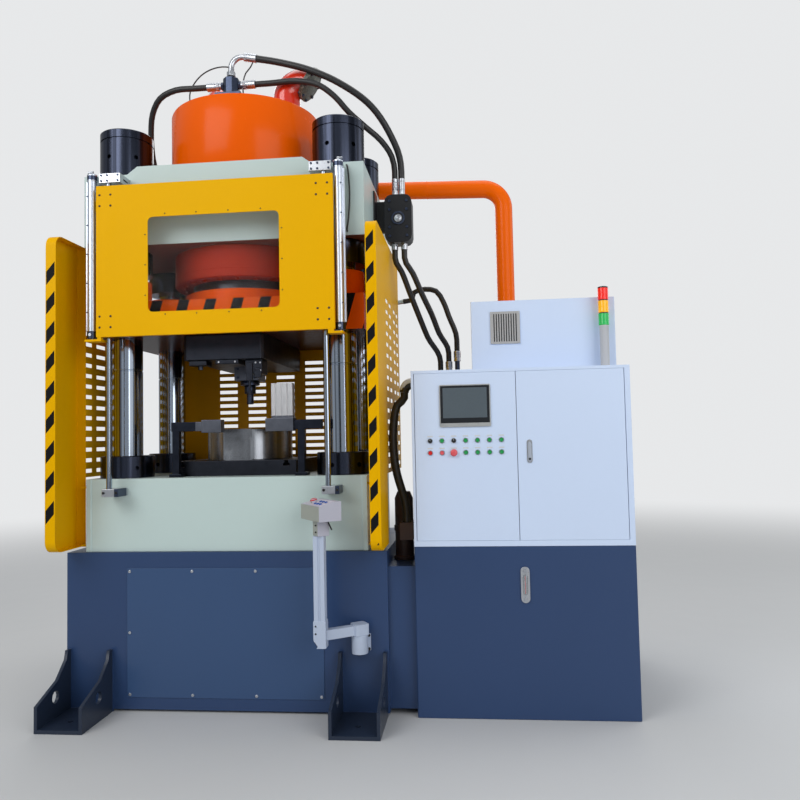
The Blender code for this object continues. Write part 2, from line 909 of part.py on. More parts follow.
def build_cylinder():
    bore_top = crown_pad_top - cylinder_lid
    centre = (0, press_middle_y, 0)
    profile = [(ram_bore_radius, flange_bottom), (cylinder_flange_radius, flange_bottom),
               (cylinder_flange_radius, crown_bottom - seat_gap), (cylinder_body_radius, crown_bottom - seat_gap),
               (cylinder_body_radius, crown_pad_top), (0, crown_pad_top), (0, bore_top),
               (ram_bore_radius, bore_top)]
    form = turned(profile, round_sides, centre)
    piece("main_cylinder", form, press_orange, (0, press_middle_y, crown_bottom))
    profile = [(0, drum_bottom), (tank_drum_radius, drum_bottom), (tank_drum_radius, drum_top - drum_edge),
               (tank_drum_radius - drum_edge, drum_top), (0, drum_top)]
    drum = turned(profile, round_sides, centre)
    right = (right_bend_offset, press_middle_y - right_bend_forward)
    left = (left_bend_offset, press_middle_y + left_bend_back)
    drum = fuse(drum, *filling_bend(right, (1, 0, 0), right_bend_angle))
    drum = fuse(drum, *filling_bend(left, (0, 1, 0), left_bend_angle))
    piece("prefill_tank", drum, press_orange, (0, press_middle_y, drum_bottom))
    profile = [(0, hub_top + seat_gap), (ram_radius, hub_top + seat_gap), (ram_radius, bore_top - ram_top_gap),
               (0, bore_top - ram_top_gap)]
    piece("ram", turned(profile, round_sides, centre), ram_steel, (0, press_middle_y, hub_top), slide_axis)


def filling_bend(spot, away, angle):
    """A filling pipe that rises from the drum and bends away and down to its flange."""
    out = Vector(away) * bend_radius
    start = Vector((*spot, drum_top + bend_rise))
    path = [Vector((*spot, drum_top - overrun))]
    path += arc_points(start + out, -out, (0, 0, bend_radius), angle, 7)
    pipe = swept(path, bend_pipe_radius, 14)
    along = (path[-1] - path[-2]).normalized()
    collar = swept([path[-1] - along * bend_flange_sheet, path[-1] + along * seat_gap], bend_flange_radius, 14)
    return pipe, collar


def build_head_fittings():
    """The pressure inlet on the drum: base, faceted block, top elbow and three crimped ferrules."""
    x = head_offset
    y = press_middle_y - head_forward
    base_top = drum_top + seat_gap + head_base_height
    block_high = base_top + head_block_height
    half = head_base_half_width
    base = box((x - half, x + half), (y - half, y + half), (drum_top + seat_gap, base_top))
    facet = head_block_half_width * math.tan(math.pi / 8)
    reach = head_block_half_width
    outline = [(x + reach, y - facet), (x + reach, y + facet), (x + facet, y + reach), (x - facet, y + reach),
               (x - reach, y + facet), (x - reach, y - facet), (x - facet, y - reach), (x + facet, y - reach)]
    block = prism(outline, "Z", base_top - overrun, block_high)
    bend_level = block_high + elbow_rise
    centre = (x + elbow_bend, y, bend_level)
    path = [Vector((x, y, block_high - overrun))]
    path += arc_points(centre, (-elbow_bend, 0, 0), (0, 0, elbow_bend), 90, 5)
    top = path[-1]
    path.append(top + Vector((ferrule_radius, 0, 0)))
    elbow = swept(path, elbow_radius, 12)
    top_end = top.x + ferrule_radius / 2 + ferrule_length
    top_ferrule = swept([(top_end - ferrule_length, y, top.z), (top_end, y, top.z)], ferrule_radius, 12)
    collar = disc(elbow_radius * elbow_collar_share, block_high - overrun,
                  block_high + elbow_rise * elbow_collar_rise_share, 12, (x, y, 0))
    side_level = block_high - side_port_drop
    ferrules = []
    for side in (-1, 1):
        near = x + side * (reach - overrun)
        mid = x + side * (reach + ferrule_radius)
        far = mid + side * ferrule_length
        ferrules.append(swept([(near, y, side_level), (mid + side * overrun, y, side_level)],
                              elbow_radius, 12))
        ferrules.append(swept([(mid, y, side_level), (far, y, side_level)], ferrule_radius, 12))
    form = fuse(base, block, elbow, top_ferrule, collar, *ferrules)
    piece("head_block", form, dark_steel, (x, y, drum_top))
    return {"top": (top_end, y, top.z),
            "right": (x + reach + ferrule_radius + ferrule_length, y, side_level),
            "left": (x - reach - ferrule_radius - ferrule_length, y, side_level)}


def build_slide():
    front = press_middle_y - slide_depth / 2
    body = box((-slide_half_width, slide_half_width), (front, front + slide_depth), (slide_bottom, slide_top))
    hub = disc(hub_radius, slide_top - overrun, hub_top, round_sides, (0, press_middle_y, 0))
    bushes = [disc(bush_radius, slide_top - overrun, slide_top + bush_height, column_sides, (x, y, 0))
              for _, x, y in column_places()]
    body = fuse(body, hub, *bushes)
    bores = column_bores(running_radius, slide_bottom, slide_top + bush_height)
    piece("slide", cut(body, *bores), press_orange, (0, press_middle_y, slide_bottom), slide_axis)
    front = press_middle_y - die_plate_depth / 2
    outline = rounded_outline((die_plate_shift - die_plate_half_width, front),
                              (die_plate_shift + die_plate_half_width, front + die_plate_depth),
                              die_plate_chamfer, 1)
    plate = prism(outline, "Z", die_plate_bottom, slide_bottom - seat_gap)
    piece("upper_die_plate", plate, tool_steel, (0, press_middle_y, slide_bottom), slide_axis, smooth=False)
    top = die_plate_bottom - seat_gap
    shoulder = top - punch_holder_height
    collar = shoulder - punch_collar_height
    nut = collar - punch_nut_height
    half = punch_holder_half
    holder = box((-half, half), (press_middle_y - half, press_middle_y + half), (shoulder, top))
    profile = [(0, nut - punch_length), (punch_radius, nut - punch_length), (punch_radius, nut),
               (punch_nut_radius, nut), (punch_nut_radius, collar), (punch_collar_radius, collar),
               (punch_collar_radius, shoulder + overrun), (0, shoulder + overrun)]
    form = fuse(holder, turned(profile, 16, (0, press_middle_y, 0)))
    piece("punch", form, bright_steel, (0, press_middle_y, top), slide_axis)


def build_tooling():
    base = bed_top + seat_gap
    front = press_middle_y - bolster_depth / 2
    rear = front + bolster_depth
    body = box((-bolster_half_width, bolster_half_width), (front, rear), (base, bolster_top))
    slots = []
    for side in (-1, 1):
        x = side * slot_offset
        foot = bolster_top - slot_depth
        outline = [(x - slot_width / 2, bolster_top + overrun), (x - slot_width / 2, foot + slot_foot_height),
                   (x - slot_foot_width / 2, foot + slot_foot_height), (x - slot_foot_width / 2, foot),
                   (x + slot_foot_width / 2, foot), (x + slot_foot_width / 2, foot + slot_foot_height),
                   (x + slot_width / 2, foot + slot_foot_height), (x + slot_width / 2, bolster_top + overrun)]
        slots.append(prism(outline, "Y", front - overrun, rear + overrun))
    piece("bolster", cut(body, *slots), tool_steel, (0, press_middle_y, base), smooth=False)
    low = bolster_top + seat_gap
    high = low + ring_height
    profile = [(ring_bore, low), (ring_radius, low), (ring_radius, high), (ring_step_radius, high),
               (ring_step_radius, high - ring_step_depth), (ring_bore, high - ring_step_depth)]
    ring = turned(profile, round_sides, (0, press_middle_y, 0))
    flat = press_middle_y - math.sqrt(ring_radius ** 2 - ring_flat_half_width ** 2)
    facet = box((-ring_radius, ring_radius), (flat - ring_radius, flat), (low - overrun, high + overrun))
    piece("die_ring", cut(ring, facet), bright_steel, (0, press_middle_y, low))
    build_clamps()


def build_clamps():
    """Two locating clamps on posts that stand on the bed in front of the bolster."""
    y = (press_middle_y - clamp_forward - clamp_half_depth, press_middle_y - clamp_forward + clamp_half_depth)
    jaw_middle = bed_top + clamp_level
    arm_z = (jaw_middle - clamp_arm_height / 2, jaw_middle + clamp_arm_height / 2)
    jaw_z = (jaw_middle - clamp_jaw_height / 2, jaw_middle + clamp_jaw_height / 2)
    base = bed_top + seat_gap
    arms = {"left": (left_arm_end, left_jaw_from, left_jaw_to, left_post_place),
            "right": (right_arm_end, right_jaw_from, right_jaw_to, right_post_place)}
    for name, (arm_end, jaw_from, jaw_to, post) in arms.items():
        arm = box(sorted((arm_end, (jaw_from + jaw_to) / 2)), y, arm_z)
        jaw = box((jaw_from, jaw_to), (y[0] - clamp_half_depth / 2, y[1] + clamp_half_depth / 2), jaw_z)
        leg = box((post - clamp_post_half_width, post + clamp_post_half_width), y, (base, jaw_middle))
        foot = box((post - clamp_foot_half_width, post + clamp_foot_half_width),
                   (y[0] - clamp_half_depth / 2, y[1] + clamp_half_depth), (base, base + clamp_foot_height))
        form = fuse(arm, jaw, leg, foot)
        if name == "right":
            block = box((actuator_from, actuator_to),
                        (y[0] - clamp_half_depth / 4, y[1] + clamp_half_depth / 4),
                        (jaw_z[1] - overrun, jaw_z[1] + actuator_height))
            middle = (actuator_from + actuator_to) / 2
            grooves = [box((x - actuator_groove / 2, x + actuator_groove / 2),
                           (y[0] - clamp_half_depth, y[0] + clamp_half_depth / 4),
                           (jaw_z[1] + actuator_groove, jaw_z[1] + actuator_height + overrun))
                       for x in (middle - 3 * actuator_groove, middle, middle + 3 * actuator_groove)]
            form = fuse(form, cut(block, *grooves))
        piece(f"clamp_{name}", form, dark_steel, (post, y[0], base), smooth=False)


def guide_x(side):
    return side * rod_offset + guide_shift


def lift_x(side):
    return side * lift_offset + lift_shift


def build_door():
    """A folded sheet panel that runs on two rods, with a clear pane behind its window."""
    back = door_front + door_edge
    skin = door_front + door_sheet
    body = box((-door_half_width, door_half_width), (door_front, back), (door_bottom, door_top))
    pocket = box((-door_half_width + door_sheet, door_half_width - door_sheet), (skin, back + overrun),
                 (door_bottom + door_sheet, door_top - door_sheet))
    low = door_bottom + window_rise
    high = low + window_height
    window = prism(rounded_outline((-window_half_width, low), (window_half_width, high), window_corner),
                   "Y", door_front - overrun, back + overrun)
    body = cut(cut(body, pocket), window)
    carriages = []
    lugs = []
    for side in (-1, 1):
        x = guide_x(side)
        for z in (door_bottom + carriage_inset, door_top - carriage_inset):
            carriage = box((x - carriage_half, x + carriage_half),
                           (door_front + door_sheet / 2, rod_front + rod_radius * carriage_back_share),
                           (z - carriage_half, z + carriage_half))
            bore = disc(rod_radius + running_gap, z - carriage_half - overrun, z + carriage_half + overrun, 12,
                        (x, rod_front, 0))
            carriages.append(cut(carriage, bore))
        reach = lift_x(side) + side * lug_overhang
        low_z = door_bottom - lug_drop
        inner = x + side * (rod_radius + lug_clearance)
        ledge = box(sorted((inner, reach)), (door_front + door_sheet / 2, rod_front + lift_bracket_half),
                    (low_z, low_z + lug_sheet))
        leg = box(sorted((inner, side * (door_half_width - door_sheet * 2))),
                  (door_front + door_sheet / 2, back), (low_z, door_bottom + door_edge))
        lugs += [leg, ledge]
    piece("door_panel", fuse(body, *carriages, *lugs), guard_yellow, (0, door_front, door_bottom), door_axis,
          smooth=False)
    margin = pane_margin
    outline = rounded_outline((-window_half_width - margin, low - margin),
                              (window_half_width + margin, high + margin), window_corner)
    pane = prism(outline, "Y", skin + seat_gap, skin + seat_gap + pane_sheet)
    piece("door_window", pane, clear_pane, (0, skin, low), door_axis)


def build_door_guides():
    for name, side in (("left", -1), ("right", 1)):
        x = guide_x(side)
        top = door_top + rod_top_rise
        foot = bed_top - rod_foot_drop
        rod = disc(rod_radius, foot, top, 12, (x, rod_front, 0))
        block = box(sorted((x - side * rod_block_inner, x + side * rod_block_outer)),
                    (rod_front - rod_block_depth, crown_front - seat_gap),
                    (top - rod_block_height / 2, top + rod_block_height / 2))
        clamp = box((x - rod_clamp_left, x + rod_clamp_right),
                    (rod_front - rod_block_depth, bed_front - seat_gap),
                    (foot - rod_clamp_height / 3, foot + rod_clamp_height * 2 / 3))
        piece(f"guide_rod_{name}", fuse(rod, block, clamp), bright_steel, (x, rod_front, foot))
        build_lift_cylinder(name, lift_x(side))


def build_lift_cylinder(name, x):
    low = door_bottom
    high = door_top + lift_top_rise
    bore = lift_radius - lift_wall
    gland = lift_rod_radius + seat_gap
    profile = [(gland, low), (lift_radius, low), (lift_radius, high), (0, high), (0, high - lift_end_cap),
               (bore, high - lift_end_cap), (bore, low + lift_end_cap), (gland, low + lift_end_cap)]
    barrel = turned(profile, 16, (x, rod_front, 0))
    brackets = []
    for z in (crown_bottom + lift_bracket_height, high - lift_bracket_height - lift_bracket_inset):
        brackets.append(box((x - lift_bracket_half, x + lift_bracket_half),
                            (rod_front + bore + lift_wall / 2, crown_front - seat_gap),
                            (z, z + lift_bracket_height)))
    piece(f"lift_cylinder_{name}", fuse(barrel, *brackets), aluminium, (x, rod_front, low))
    start = low - lug_drop + lug_sheet + seat_gap
    top = start + lift_rod_length
    profile = [(0, start), (lift_rod_radius, start), (lift_rod_radius, top - lift_piston_height),
               (bore - seat_gap, top - lift_piston_height), (bore - seat_gap, top), (0, top)]
    rod = turned(profile, 16, (x, rod_front, 0))
    piece(f"lift_rod_{name}", rod, bright_steel, (x, rod_front, start), door_axis)


def guard_slots(side):
    slots = []
    for pair in range(2):
        for column in range(2):
            y = (guard_front + guard_post_depth + slot_first_column + slot_pair_pitch * pair
                 + slot_column_pitch * column)
            for row in range(slot_rows):
                z = bed_top + slot_row_first + slot_row_pitch * row
                outline = slot_outline((y, z), slot_length / 2, slot_height / 2)
                x = side * guard_outer
                slots.append(prism(outline, "X", x - overrun, x + overrun))
    return slots


def build_side_guard(name, side):
    """A striped tray-shaped post beside the bed, with a slotted panel behind it between bed and crown."""
    top = crown_bottom + guard_top_rise
    rear = guard_front + guard_post_depth
    inner = guard_outer - guard_strip_width
    wall = guard_sheet
    rounded = (True, False, False, True)
    outline = rounded_outline((guard_front, guard_bottom), (rear, top), guard_corner, 5, rounded)
    post = prism(outline, "X", side * inner, side * guard_outer)
    hollow = rounded_outline((guard_front + wall, guard_bottom + wall), (rear - wall, top - wall),
                             guard_corner - wall, 5, rounded)
    post = cut(post, prism(hollow, "X", side * (inner - overrun), side * (guard_outer - wall)))
    panel = box(sorted((side * (guard_outer - wall), side * guard_outer)), (rear - wall / 2, guard_panel_rear),
                (bed_top + guard_panel_lift, top))
    panel = cut(panel, *guard_slots(side))
    width = guard_bracket_width
    bed_side = side * (bed_half_width + seat_gap)
    crown_side = side * (crown_half_width + seat_gap)
    places = [(bed_side, rear - width, guard_bottom, inner), (bed_side, rear - width, bed_top - width, inner),
              (crown_side, rear + width, top - guard_bracket_sheet, guard_outer - wall),
              (crown_side, guard_panel_rear - 2 * width, top - guard_bracket_sheet, guard_outer - wall)]
    brackets = [box(sorted((start, side * (end + wall / 2))), (y, y + width), (z, z + guard_bracket_sheet))
                for start, y, z, end in places]
    place = (side * guard_outer, guard_front, guard_bottom)
    piece(f"guard_{name}", fuse(post, panel, *brackets), guard_yellow, place, smooth=False)


def build_rear_guard():
    face = bed_front + bed_depth - rear_guard_forward
    plate = box((-bed_half_width, bed_half_width), (face - guard_sheet, face),
                (bed_top + seat_gap, crown_bottom - seat_gap))
    slots = []
    first = -rear_slot_column_pitch * (rear_slot_columns - 1) / 2
    for column in range(rear_slot_columns):
        for row in range(rear_slot_rows):
            centre = (first + rear_slot_column_pitch * column,
                      bed_top + rear_slot_first + rear_slot_pitch * row)
            outline = slot_outline(centre, rear_slot_length / 2, slot_height / 2)
            slots.append(prism(outline, "Y", face - guard_sheet - overrun, face + overrun))
    piece("guard_rear", cut(plate, *slots), guard_yellow, (0, face, bed_top), smooth=False)


def build_oil_tank():
    outline = rounded_outline((oil_tank_left, 0), (oil_tank_right, oil_tank_depth), tank_corner, 2)
    piece("oil_tank", prism(outline, "Z", 0, oil_tank_height), slate, (oil_tank_left, 0, 0), smooth=False)
    x = oil_tank_left + gauge_place
    outline = rounded_outline((x - gauge_half_width, gauge_bottom),
                              (x + gauge_half_width, gauge_bottom + gauge_height), gauge_half_width / 3)
    frame = prism(outline, "Y", -gauge_depth, -seat_gap)
    glass = box((x - gauge_glass_half_width, x + gauge_glass_half_width),
                (-gauge_depth - overrun, gauge_glass_depth - gauge_depth),
                (gauge_bottom + gauge_glass_margin, gauge_bottom + gauge_height - gauge_glass_margin))
    piece("level_gauge", cut(frame, glass), aluminium, (x, 0, gauge_bottom))


def build_power_pack():
    """Motor and pump lie on the tank behind the cabinet, beside a valve manifold with three risers."""
    base = oil_tank_height + seat_gap
    y = oil_tank_depth - motor_rear_space
    x0 = oil_tank_left + motor_from
    axis = base + motor_lift + motor_radius
    centre = (0, y, axis)
    body = disc(motor_radius, x0, x0 + motor_length, 20, centre, "X")
    nose = disc(pump_radius, x0 - pump_length, x0 + overrun, 16, centre, "X")
    foot = box((x0 + motor_length / 5, x0 + motor_length * 4 / 5),
               (y - motor_foot_half, y + motor_foot_half), (base, axis - motor_radius / 2))
    lead_box = box((x0 + motor_length / 3, x0 + motor_length / 3 + 2 * motor_box_half),
                   (y - motor_box_half, y + motor_box_half),
                   (axis + motor_radius / 2, axis + motor_radius + motor_box_height))
    piece("pump_motor", fuse(body, nose, foot, lead_box), motor_blue, (x0, y, base))
    x0 = oil_tank_left + manifold_from
    y0 = cabinet_depth + manifold_setback
    block = box((x0, x0 + manifold_width), (y0, y0 + manifold_depth), (base, base + manifold_height))
    parts = []
    ends = {}
    for name, share, height in (("a", riser_a_share, riser_a_height), ("b", riser_b_share, riser_b_height),
                                ("c", riser_c_share, riser_c_height)):
        x = x0 + manifold_width * share
        y = y0 + manifold_depth / 2
        top = base + height
        parts.append(disc(riser_radius, base + manifold_height - overrun, top, 10, (x, y, 0)))
        parts.append(disc(riser_nut_radius, top - riser_nut_height, top, 10, (x, y, 0)))
        ends[name] = (x, y, top)
    piece("valve_manifold", fuse(block, *parts), dark_steel, (x0, y0, base))
    return ends


def build_transfer_pump():
    """The small upright pump that stands on the trunk between the press and the cabinet."""
    x, y = transfer_pump_place, transfer_pump_back
    base = link_top + seat_gap
    top = base + transfer_pump_height
    r = transfer_pump_radius
    band = transfer_band
    steps = [base + transfer_pump_height * part for part in transfer_step_shares]
    profile = [(0, base), (transfer_pump_foot, base), (transfer_pump_foot, steps[0]), (r, steps[0]),
               (r, steps[1]), (r + band, steps[1]), (r + band, steps[2]), (r, steps[2]), (r, steps[3]),
               (r * transfer_top_share, top), (0, top)]
    body = turned(profile, 16, (x, y, 0))
    lead_box = box((x + r / 2 - trunk_box_half_width, x + r / 2 + trunk_box_half_width),
                   (trunk_box_front, y),
                   (base + trunk_box_base, base + trunk_box_base + trunk_box_height))
    piece("transfer_pump", fuse(body, lead_box), pump_brown, (x, y, base))
    return (x + r / 2, trunk_box_front + 2 * hose_radius, base + trunk_box_base + trunk_box_height)


def build_return_pipe():
    """A wide pipe from the back of the drum, over and down to the oil tank behind the cabinet."""
    y = crown_rear + pipe_behind_crown
    start_z = crown_side_top + pipe_level
    end_z = start_z - pipe_fall
    x1 = oil_tank_left + pipe_down_place
    path = [Vector((0, press_middle_y + tank_drum_radius + seat_gap, start_z))]
    path += arc_points((pipe_bend, y - pipe_bend, start_z), (-pipe_bend, 0, 0), (0, pipe_bend, 0), 90, 5)
    path += arc_points((x1 - pipe_far_bend, y, end_z - pipe_far_bend), (0, 0, pipe_far_bend),
                       (pipe_far_bend, 0, 0), 90, 6)
    path.append(Vector((x1, y, oil_tank_height + seat_gap)))
    pipe = swept(path, pipe_radius, pipe_sides)
    flange_low = oil_tank_height + seat_gap
    flange = disc(pipe_flange_radius, flange_low, flange_low + pipe_flange_sheet, pipe_sides, (x1, y, 0))
    piece("return_pipe", fuse(pipe, flange), pipe_orange, (x1, y, oil_tank_height))


def build_valve_block():
    """A rounded valve block carried beside the crown on a bent plate, with hose ports above and below."""
    rear = block_front + block_depth
    outline = rounded_outline((block_left, block_bottom), (block_right, block_top), block_corner)
    body = prism(outline, "Y", block_front, rear)
    centre_z = (block_bottom + block_top) / 2
    bore = block_ring_radius * block_ring_bore_share
    ring = turned([(bore, 0), (block_ring_radius, 0), (block_ring_radius, block_ring_depth * 2),
                   (bore, block_ring_depth * 2)], 16, (block_middle_x, block_front, centre_z), "-Y")
    bmesh.ops.translate(ring, verts=ring.verts, vec=(0, block_ring_depth, 0))
    side = crown_half_width + seat_gap
    plate_top = block_top + block_plate_top
    plate = box((side, side + block_plate_sheet), (block_front, rear), (block_bottom + block_corner, plate_top))
    arm = box((side + block_plate_sheet / 2, block_left + overrun), (rear - block_arm_sheet, rear),
              (block_bottom + 2 * block_corner, plate_top - block_corner))
    ports = []
    ends = {}
    for name, offset in (("main", block_port_spread), ("second", -block_port_spread)):
        x = block_middle_x + offset
        ports.append(disc(block_port_radius, block_top - overrun, block_top + block_port_height, 10,
                          (x, block_middle_y, 0)))
        ends[name] = (x, block_middle_y, block_top + block_port_height)
    for name, offset in (("a", -block_lower_port_spread), ("b", block_lower_port_spread)):
        x = block_middle_x + offset
        ports.append(disc(block_port_radius, block_bottom - block_port_below, block_bottom + overrun, 10,
                          (x, block_middle_y, 0)))
        ends[name] = (x, block_middle_y, block_bottom - block_port_below)
    form = fuse(body, ring, plate, arm, *ports)
    piece("valve_block", form, block_black, (block_left, block_front, block_bottom))
    return ends


def build_cabinet():
    left, right, low, high = oil_tank_left, oil_tank_right, cabinet_bottom, cabinet_top
    wall = cabinet_wall
    body = box((left, right), (0, cabinet_depth), (low, high))
    inside = box((left + wall, right - wall), (cabinet_frame, cabinet_depth - wall), (low + wall, high - wall))
    door_x = (left + cabinet_left_border, right - cabinet_right_border)
    door_z = (low + cabinet_bottom_border, high - cabinet_top_border)
    mouth = box(door_x, (-overrun, cabinet_frame + overrun), door_z)
    body = cut(cut(body, inside), mouth)
    gland_z = high - gland_drop
    bend = gland_bend
    path = [Vector((left + wall / 2, gland_back, gland_z))]
    path += arc_points((left - gland_length, gland_back, gland_z - bend), (0, 0, bend), (-bend, 0, 0), 90, 4)
    path.append(path[-1] - Vector((0, 0, gland_length)))
    gland = swept(path, gland_radius, 12)
    gland_end = path[-1]
    piece("cabinet_shell", fuse(body, gland), cabinet_white, (left, 0, low), smooth=False)
    split = left + cabinet_door_split
    z = (door_z[0] + cabinet_door_rub, door_z[1] - cabinet_door_rub)
    build_left_door((door_x[0] + cabinet_door_gap, split - cabinet_door_gap / 2), z, low)
    build_right_door((split + cabinet_door_gap / 2, door_x[1] - cabinet_door_gap), z, low)
    build_mounting_plate(left, right, low, high)
    return gland_end


def door_tray(x, z):
    body = box(x, (0, cabinet_door_edge), z)
    sheet = cabinet_door_sheet
    pocket = box((x[0] + sheet, x[1] - sheet), (sheet, cabinet_door_edge + overrun),
                 (z[0] + sheet, z[1] - sheet))
    return cut(body, pocket)


def control_place(column, row):
    level = control_upper_row if row == 0 else control_lower_row
    return oil_tank_left + control_first + control_pitch * column, cabinet_bottom + level


live_controls = {(0, 0): "selector_left", (2, 0): "selector_right", (0, 1): "button_red_left",
                 (1, 1): "button_red_right", (2, 1): "emergency_stop"}


def build_left_door(x, z, low):
    """The door with the touch screen and two rows of controls, seven in each row."""
    tray = door_tray(x, z)
    screen_x = (oil_tank_left + screen_left, oil_tank_left + screen_left + screen_width)
    screen_z = (low + screen_bottom, low + screen_bottom + screen_height)
    margin = screen_body_margin
    body_x = (screen_x[0] + margin, screen_x[1] - margin)
    body_z = (screen_z[0] + margin, screen_z[1] - margin)
    holes = [box((body_x[0] - seat_gap, body_x[1] + seat_gap), (-overrun, cabinet_door_edge),
                 (body_z[0] - seat_gap, body_z[1] + seat_gap))]
    rings = []
    for column in range(control_columns):
        for row in range(2):
            cx, cz = control_place(column, row)
            height = cap_height
            if (column, row) in live_controls:
                height = bezel_height
                bore = (stem_radius + seat_gap) / math.cos(math.pi / control_sides)
                holes.append(disc(bore, -overrun, bezel_height + overrun, control_sides, (cx, 0, cz), "-Y"))
            rings.append(disc(bezel_radius, -cabinet_door_sheet / 2, height, control_sides,
                              (cx, 0, cz), "-Y"))
    tray = cut(fuse(tray, merged(rings)), *holes)
    piece("cabinet_door_left", tray, cabinet_white, (x[0] + hinge_inset, hinge_inset, z[0]), left_hinge,
          smooth=False)
    outline = rounded_outline((screen_x[0], screen_z[0]), (screen_x[1], screen_z[1]), screen_bezel)
    bezel = prism(outline, "Y", -seat_gap - screen_bezel, -seat_gap)
    body = box(body_x, (-seat_gap - screen_bezel / 2, screen_body_depth), body_z)
    piece("touch_screen", fuse(bezel, body), screen_grey, (screen_x[0], 0, screen_z[0]), left_hinge)
    for (column, row), name in live_controls.items():
        build_control(name, *control_place(column, row))


def build_control(name, x, z):
    """A live control: a stem through the door with its cap, knob or mushroom head in front."""
    stem = [(0, -stem_depth), (stem_radius, -stem_depth)]
    if name == "emergency_stop":
        under = bezel_height + mushroom_lift
        rim = under + mushroom_height * mushroom_rim_share
        stem += [(stem_radius, under), (mushroom_radius, under), (mushroom_radius, rim),
                 (mushroom_radius * mushroom_top_share, under + mushroom_height), (0, under + mushroom_height)]
    else:
        stem += [(stem_radius, cap_height), (0, cap_height)]
    form = turned(stem, control_sides, (x, 0, z), "-Y")
    look = stop_red
    if name.startswith("selector"):
        look = knob_black
        reach = stem_radius * knob_bar_share
        bar = box((x - knob_bar_half_width, x + knob_bar_half_width),
                  (-cap_height - knob_bar_height, -cap_height / 2), (z - reach, z + reach))
        form = fuse(form, bar)
    piece(name, form, look, (x, 0, z), left_hinge)


def build_right_door(x, z, low):
    tray = door_tray(x, z)
    cx = oil_tank_left + latch_place
    latch_z = (low + latch_bottom, low + latch_bottom + latch_height)
    rim = box((cx - latch_half_width, cx + latch_half_width), (-latch_rim, cabinet_door_sheet / 2), latch_z)
    room = box((cx - latch_half_width + latch_rim, cx + latch_half_width - latch_rim),
               (-latch_rim - overrun, 0), (latch_z[0] + latch_rim, latch_z[1] - latch_rim))
    tray = fuse(tray, cut(rim, room))
    piece("cabinet_door_right", tray, cabinet_white, (x[1] - hinge_inset, hinge_inset, z[0]), right_hinge,
          smooth=False)
    thick = latch_lever_sheet
    top = latch_z[1] - latch_rim - thick
    lever = [(-seat_gap, latch_z[0] + 2 * latch_rim), (-seat_gap, top), (-thick / 2, top + thick / 2),
             (-thick, top), (-thick, latch_z[0] + 3 * latch_rim)]
    form = prism(lever, "X", cx - latch_lever_half_width, cx + latch_lever_half_width)
    piece("cabinet_latch", form, dark_steel, (cx, -thick / 2, top), latch_axis)


def build_mounting_plate(left, right, low, high):
    """The steel plate at the back of the cabinet, with three rows of switchgear on it."""
    rear = cabinet_depth - cabinet_wall - seat_gap
    face = cabinet_depth - panel_setback
    x = (left + panel_margin, right - panel_margin)
    z = (low + panel_margin, high - panel_margin)
    plate = box(x, (face, face + panel_sheet), z)
    parts = []
    for sx in (x[0] + panel_margin, x[1] - panel_margin):
        for sz in (z[0] + panel_margin, z[1] - panel_margin):
            parts.append(box((sx - panel_stud, sx + panel_stud), (face + panel_sheet / 2, rear),
                             (sz - panel_stud, sz + panel_stud)))
    row_pitch = (z[1] - z[0]) / panel_rows
    cell = (x[1] - x[0] - 2 * panel_margin) / panel_devices
    devices = []
    for row in range(panel_rows):
        middle = z[0] + row_pitch * (row + 0.5)
        for index in range(panel_devices):
            cx = x[0] + panel_margin + cell * (index + 0.5)
            half = cell * device_fill_share / 2
            depth = device_depth * (1 if (index + row) % 3 else device_shallow_share)
            devices.append(box((cx - half, cx + half), (face - depth, face + panel_sheet / 2),
                               (middle - device_height / 2, middle + device_height / 2)))
    form = fuse(plate, merged(parts), merged(devices))
    piece("mounting_plate", form, zinc, (x[0], face, z[0]), smooth=False)


def build_upper_box():
    x0 = oil_tank_left + upper_left
    base = cabinet_top + seat_gap
    outline = rounded_outline((x0, upper_setback), (x0 + upper_width, upper_setback + upper_depth),
                              upper_corner, 2)
    body = prism(outline, "Z", base, base + upper_height)
    vx = (x0 + vent_left, x0 + vent_left + vent_width)
    vz = (base + vent_bottom, base + vent_bottom + vent_height)
    frame = box(vx, (upper_setback - vent_proud, upper_setback + overrun), vz)
    pitch = (vent_width - 2 * vent_frame) / vent_slots
    slots = []
    for index in range(vent_slots):
        cx = vx[0] + vent_frame + pitch * (index + 0.5)
        half = pitch * vent_slot_share / 2
        slots.append(box((cx - half, cx + half),
                         (upper_setback - vent_proud - overrun, upper_setback - vent_proud + vent_slot_depth),
                         (vz[0] + vent_frame, vz[1] - vent_frame)))
    form = cut(fuse(body, frame), *slots)
    piece("upper_box", form, cabinet_white, (x0, upper_setback, base), smooth=False)


def build_signal_tower():
    """Base tube and three lenses, with a narrow joint ring below each lens and a flat cap on top."""
    base = cabinet_top + seat_gap
    level = base + tower_base_height
    joint = tower_radius - tower_joint_height / 2
    profile = [(0, base), (tower_radius, base), (tower_radius, base + tower_joint_height * 2),
               (tower_pole_radius, base + tower_joint_height * 2),
               (tower_pole_radius, level - tower_joint_height * 2),
               (joint, level - tower_joint_height * 2)]
    for _ in range(3):
        profile += [(joint, level), (tower_radius, level), (tower_radius, level + tower_lens_height),
                    (joint, level + tower_lens_height)]
        level += tower_lens_height + tower_joint_height
    level -= tower_joint_height
    profile += [(joint, level + tower_cap_height), (0, level + tower_cap_height)]
    place = (oil_tank_left + tower_place, tower_back, 0)
    piece("signal_tower", turned(profile, tower_sides, place), tower_grey, (place[0], place[1], base))


